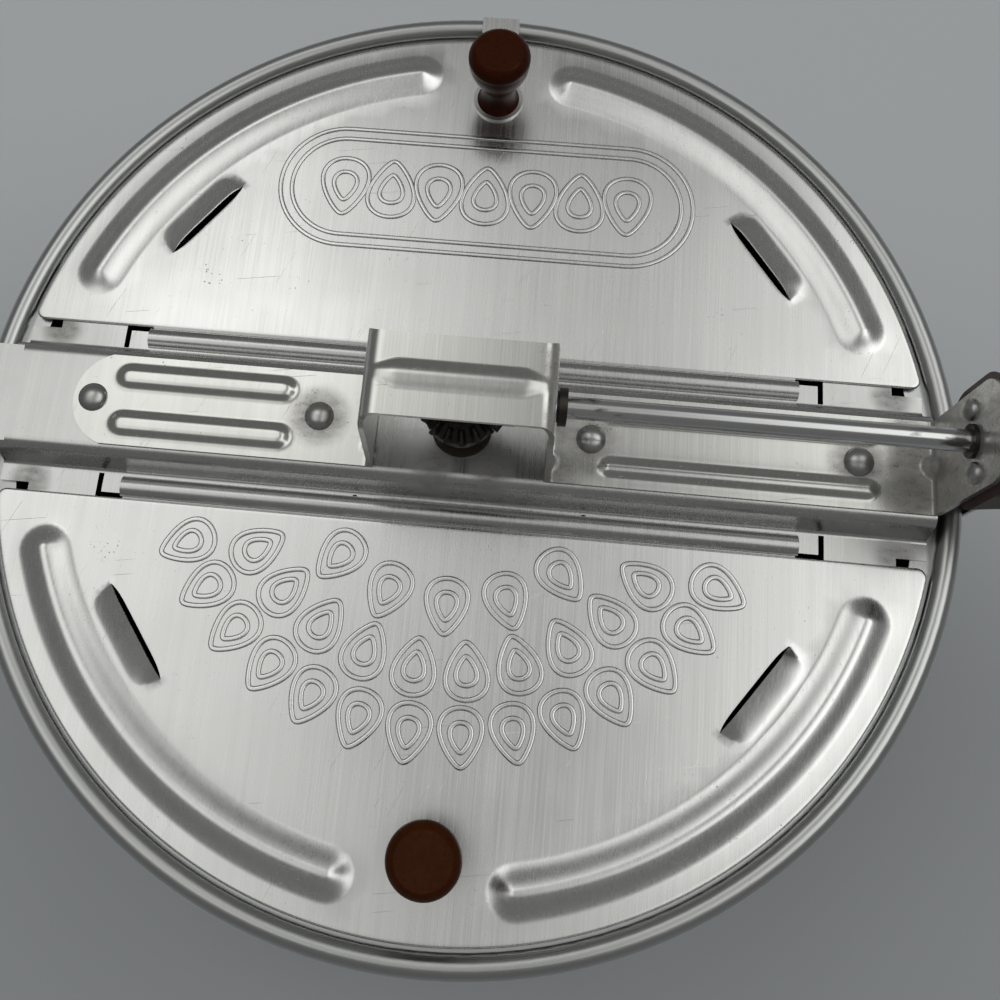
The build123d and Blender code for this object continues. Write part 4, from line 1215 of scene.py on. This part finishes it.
def stud_tree(name):
    """A domed head, a shank and a closed tail on every point of the base."""
    titles = ("Head Radius", "Head Height", "Shank Radius", "Shank Length", "Tail Radius",
              "Tail Height")
    inputs = [(title, "NodeSocketFloat", 0.001) for title in titles]
    tree = Pattern(name, inputs + [("Finish", "NodeSocketMaterial", None)])
    shank_length = tree.take("Shank Length")
    shank = tree.add("GeometryNodeMeshCylinder", None,
                     {"Vertices": 32, "Radius": tree.take("Shank Radius"), "Depth": shank_length})
    lowered = tree.add("GeometryNodeTransform", None,
                       {"Geometry": shank, "Translation": tree.join(0.0, 0.0, shank_length * -0.5)})
    tail = dome(tree, tree.take("Tail Radius"), tree.take("Tail Height"), False)
    sunk = tree.add("GeometryNodeTransform", None,
                    {"Geometry": tail, "Translation": tree.join(0.0, 0.0, shank_length * -1.0)})
    whole = tree.tree.nodes.new("GeometryNodeJoinGeometry")
    head = dome(tree, tree.take("Head Radius"), tree.take("Head Height"), True)
    for part in (head, lowered, sunk):
        tree.tree.links.new(part.socket, whole.inputs[0])
    smooth = tree.add("GeometryNodeSetShadeSmooth", None, {"Geometry": Wire(tree, whole.outputs[0])})
    heading = tree.add("GeometryNodeInputNamedAttribute", {"data_type": "FLOAT_VECTOR"},
                       {"Name": "heading"})
    put = tree.add("GeometryNodeInstanceOnPoints", None,
                   {"Points": tree.add("GeometryNodeMeshToPoints", None,
                                       {"Mesh": tree.take("Geometry")}),
                    "Instance": smooth, "Rotation": heading})
    tree.close(put)
    return tree.tree


class POPPER_OT_fasteners(Operator):
    """Set the rivets and screws, each a domed head with its shank"""

    bl_idname = "popper.fasteners"
    bl_label = "Rivets and Screws"

    def execute(self, context):
        group = context.scene.popper_fastener
        tree = stud_tree("studs")
        rivets = {"Head Radius": group.rivet_radius, "Head Height": group.rivet_height,
                  "Shank Radius": group.rivet_shank, "Tail Radius": group.rivet_tail,
                  "Tail Height": group.rivet_tail_height}
        foot_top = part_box("bracket_rivets")[1].z - group.rivet_height
        rivets["Shank Length"] = foot_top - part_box("bracket_rivets")[0].z - group.rivet_tail_height
        places = [(x, 0.0, foot_top) for x in rivet_places]
        self.set_studs("bracket_rivet_set", places, (0.0, 0.0, 0.0), tree, rivets, "rivet",
                       "rivet_aluminium", "bracket_rivets", group)
        low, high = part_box("handle_screws")
        screws = {"Head Radius": group.screw_radius, "Head Height": group.screw_height,
                  "Shank Radius": group.screw_shank, "Tail Radius": group.screw_shank,
                  "Tail Height": group.screw_end,
                  "Shank Length": high.x - low.x - group.screw_height - group.screw_end}
        rows = (low.y + group.screw_radius, high.y - group.screw_radius)
        places = [(low.x + group.screw_height, y, rod_z) for y in rows]
        self.set_studs("handle_screw_set", places, (0.0, -math.pi / 2, 0.0), tree, screws, "screw",
                       "plated_steel", "handle_screws", group)
        return {"FINISHED"}

    def set_studs(self, name, places, heading, tree, sizes, finish, slot, node, group):
        """Grow studs on the places and let them stand for a node."""
        base = base_object(name, places, heading=[heading] * len(places))
        piece = grown(base, tree, group, finishes[finish], **sizes)
        piece.data.set_sharp_from_angle(angle=math.radians(40))
        place_piece(piece, "root", slot, node)


# --- nodes that keep their shape ---------------------------------------------------------------
kept_nodes = {
    "pan": ("pan",),
    "bar": ("bridge",),
    "rod": ("crank_rod", "stirrer_shaft", "stirrer_wire_low", "stirrer_wire_high"),
    "screw": ("handle_ferrule", "rim_clip", "clip_screw", "rod_collar", "pinion_pin",
              "crank_grip_cap", "gear_pin", "shaft_collar", "stirrer_hub", "knob_screw_back",
              "knob_screw_front", "knob_washer_back", "knob_washer_front"),
    "bush": ("leg_bushing", "plate_bushing"),
    "shaft_bush": ("shaft_bushing",),
    "gear": ("drive_pinion", "driven_gear"),
    "back_wood": ("knob_back",),
    "front_wood": ("knob_front",),
    "handle_wood": ("handle_grip", "crank_grip"),
}


class POPPER_OT_finishes(Operator):
    """Make the finishes and lay them on the pieces that keep their shape"""

    bl_idname = "popper.finishes"
    bl_label = "Finishes"

    def execute(self, context):
        finishes.update(make_materials(context.scene.popper_finish))
        for finish, names in kept_nodes.items():
            for name in names:
                for slot in frame["nodes"][name].material_slots:
                    slot.material = finishes[finish]
        return {"FINISHED"}


# --- studio ------------------------------------------------------------------------------------
def add_softbox(name, place, target, sides, watts):
    """A rectangular lamp for soft shadows: it faces its target, and metal doesn't mirror it."""
    lamp = bpy.data.lights.new(name, "AREA")
    lamp.shape = "RECTANGLE"
    lamp.size, lamp.size_y = sides
    lamp.energy = watts
    stand = bpy.data.objects.new(name, lamp)
    bpy.context.scene.collection.objects.link(stand)
    stand.location = place
    aim = np.array(target, float) - np.array(place, float)
    stand.rotation_euler = (math.atan2(math.hypot(aim[0], aim[1]), -aim[2]), 0.0,
                            math.atan2(aim[1], aim[0]) - math.pi / 2 if aim[0] or aim[1] else 0.0)
    stand.visible_camera = False
    stand.visible_glossy = False


def make_world(studio):
    """Long soft panels left and right of the camera on dark walls, and the backdrop's colour."""
    world = bpy.data.worlds.new("studio")
    bpy.context.scene.world = world
    world.use_nodes = True
    nodes = Nodes(world.node_tree)
    world.node_tree.nodes.clear()
    across, along, height = nodes.split(nodes.add("ShaderNodeTexCoord", output="Generated"))
    window_side, window_depth, window_radius = -0.20, 0.42, 0.30
    above = nodes.math("MAXIMUM", height, 0.06)
    side, depth = across / above, along / above
    panels = nodes.add("ShaderNodeValToRGB", {"stops": panel_levels}, {0: side * 0.25 + 0.5})
    away = nodes.math("SQRT", (side - window_side) ** 2.0 + (depth - window_depth) ** 2.0)
    window = nodes.fade(away, window_radius, 0.0) * studio.window_level
    reach = nodes.fade(depth, 0.80, 0.50) * nodes.fade(depth, -0.60, -0.20)
    glow = (panels * studio.panel_level + window) * reach * nodes.fade(height, 0.1, 0.5)
    glow = glow + studio.wall_level
    walls = nodes.join(glow, glow, glow * 0.98)
    seen = nodes.add("ShaderNodeLightPath", output="Is Camera Ray")
    colour = nodes.add("ShaderNodeMix", {"data_type": "RGBA"},
                       {0: seen, 6: walls, 7: opaque(studio.backdrop)}, output=2)
    light = nodes.add("ShaderNodeBackground", None, {"Color": colour, "Strength": 1.0})
    output = world.node_tree.nodes.new("ShaderNodeOutputWorld")
    world.node_tree.links.new(light.socket, output.inputs["Surface"])


def make_floor(studio):
    """Pale floor that the pan stands on, with painted shade that darkens its near side."""
    reach = studio.floor_reach
    shell = Shell()
    shell.add([(-reach, -reach, 0), (reach, -reach, 0), (reach, reach, 0), (-reach, reach, 0)],
              [(0, 1, 2, 3)])
    paint = Finish("floor_paint")
    mottle = paint.noise((40, 40, 40), 4.0)
    # Painted shade: from y = 0.20 towards y = -0.22 the floor darkens by near_shade.
    painted_near_shade = paint.fade(paint.y + mottle * 0.01, 0.20, -0.22)
    colour = paint.mix(painted_near_shade, studio.floor, scaled(studio.floor, studio.near_shade))
    floor = make_piece(shell, "floor", paint.finish(colour, 0.85))
    if floor.data.polygons[0].normal.z < 0:
        floor.data.flip_normals()


class POPPER_OT_studio(Operator):
    """Set up the camera, the floor, the walls and the lamps"""

    bl_idname = "popper.studio"
    bl_label = "Studio"

    def execute(self, context):
        studio = context.scene.popper_studio
        data = bpy.data.cameras.new("camera")
        data.lens = studio.lens
        data.shift_x, data.shift_y = studio.camera_shift
        data.clip_start, data.clip_end = 0.01, 20.0
        camera = bpy.data.objects.new("camera", data)
        context.scene.collection.objects.link(camera)
        camera.location = studio.camera_place
        camera.rotation_euler = studio.camera_turn
        context.scene.camera = camera
        context.scene.view_settings.view_transform = "Standard"
        make_floor(studio)
        make_world(studio)
        add_softbox("left_softbox", (-0.50, 0.25, 1.05), (-0.05, 0.02, 0.14), (0.42, 1.1),
                    studio.left_lamp)
        add_softbox("right_softbox", (0.52, 0.25, 1.05), (0.05, 0.02, 0.14), (0.42, 1.1),
                    studio.right_lamp)
        return {"FINISHED"}


# --- panel and registration ----------------------------------------------------------------------
class POPPER_PT_panel(Panel):
    """Lists the steps that build the popper's looks"""

    bl_idname = "POPPER_PT_panel"
    bl_label = "Popcorn Popper"
    bl_space_type = "VIEW_3D"
    bl_region_type = "UI"
    bl_category = "Popper"

    def draw(self, context):
        for operator in operators:
            self.layout.operator(operator.bl_idname)


operators = (POPPER_OT_finishes, POPPER_OT_doors, POPPER_OT_ornament, POPPER_OT_bracket,
             POPPER_OT_fasteners, POPPER_OT_studio)
setting_groups = {
    "popper_door": DoorSettings,
    "popper_ornament": OrnamentSettings,
    "popper_bracket": BracketSettings,
    "popper_fastener": FastenerSettings,
    "popper_finish": FinishSettings,
    "popper_studio": StudioSettings,
}
finishes = {}


def register():
    for made in (*setting_groups.values(), *operators, POPPER_PT_panel):
        bpy.utils.register_class(made)
    for name, group in setting_groups.items():
        setattr(bpy.types.Scene, name, PointerProperty(type=group))


def unregister():
    for name in setting_groups:
        delattr(bpy.types.Scene, name)
    for made in (POPPER_PT_panel, *operators, *setting_groups.values()):
        bpy.utils.unregister_class(made)


def main():
    """Register the add-on, then build every piece."""
    register()
    for operator in operators:
        area, action = operator.bl_idname.split(".")
        getattr(getattr(bpy.ops, area), action)()


if __name__ == "__main__":
    main()
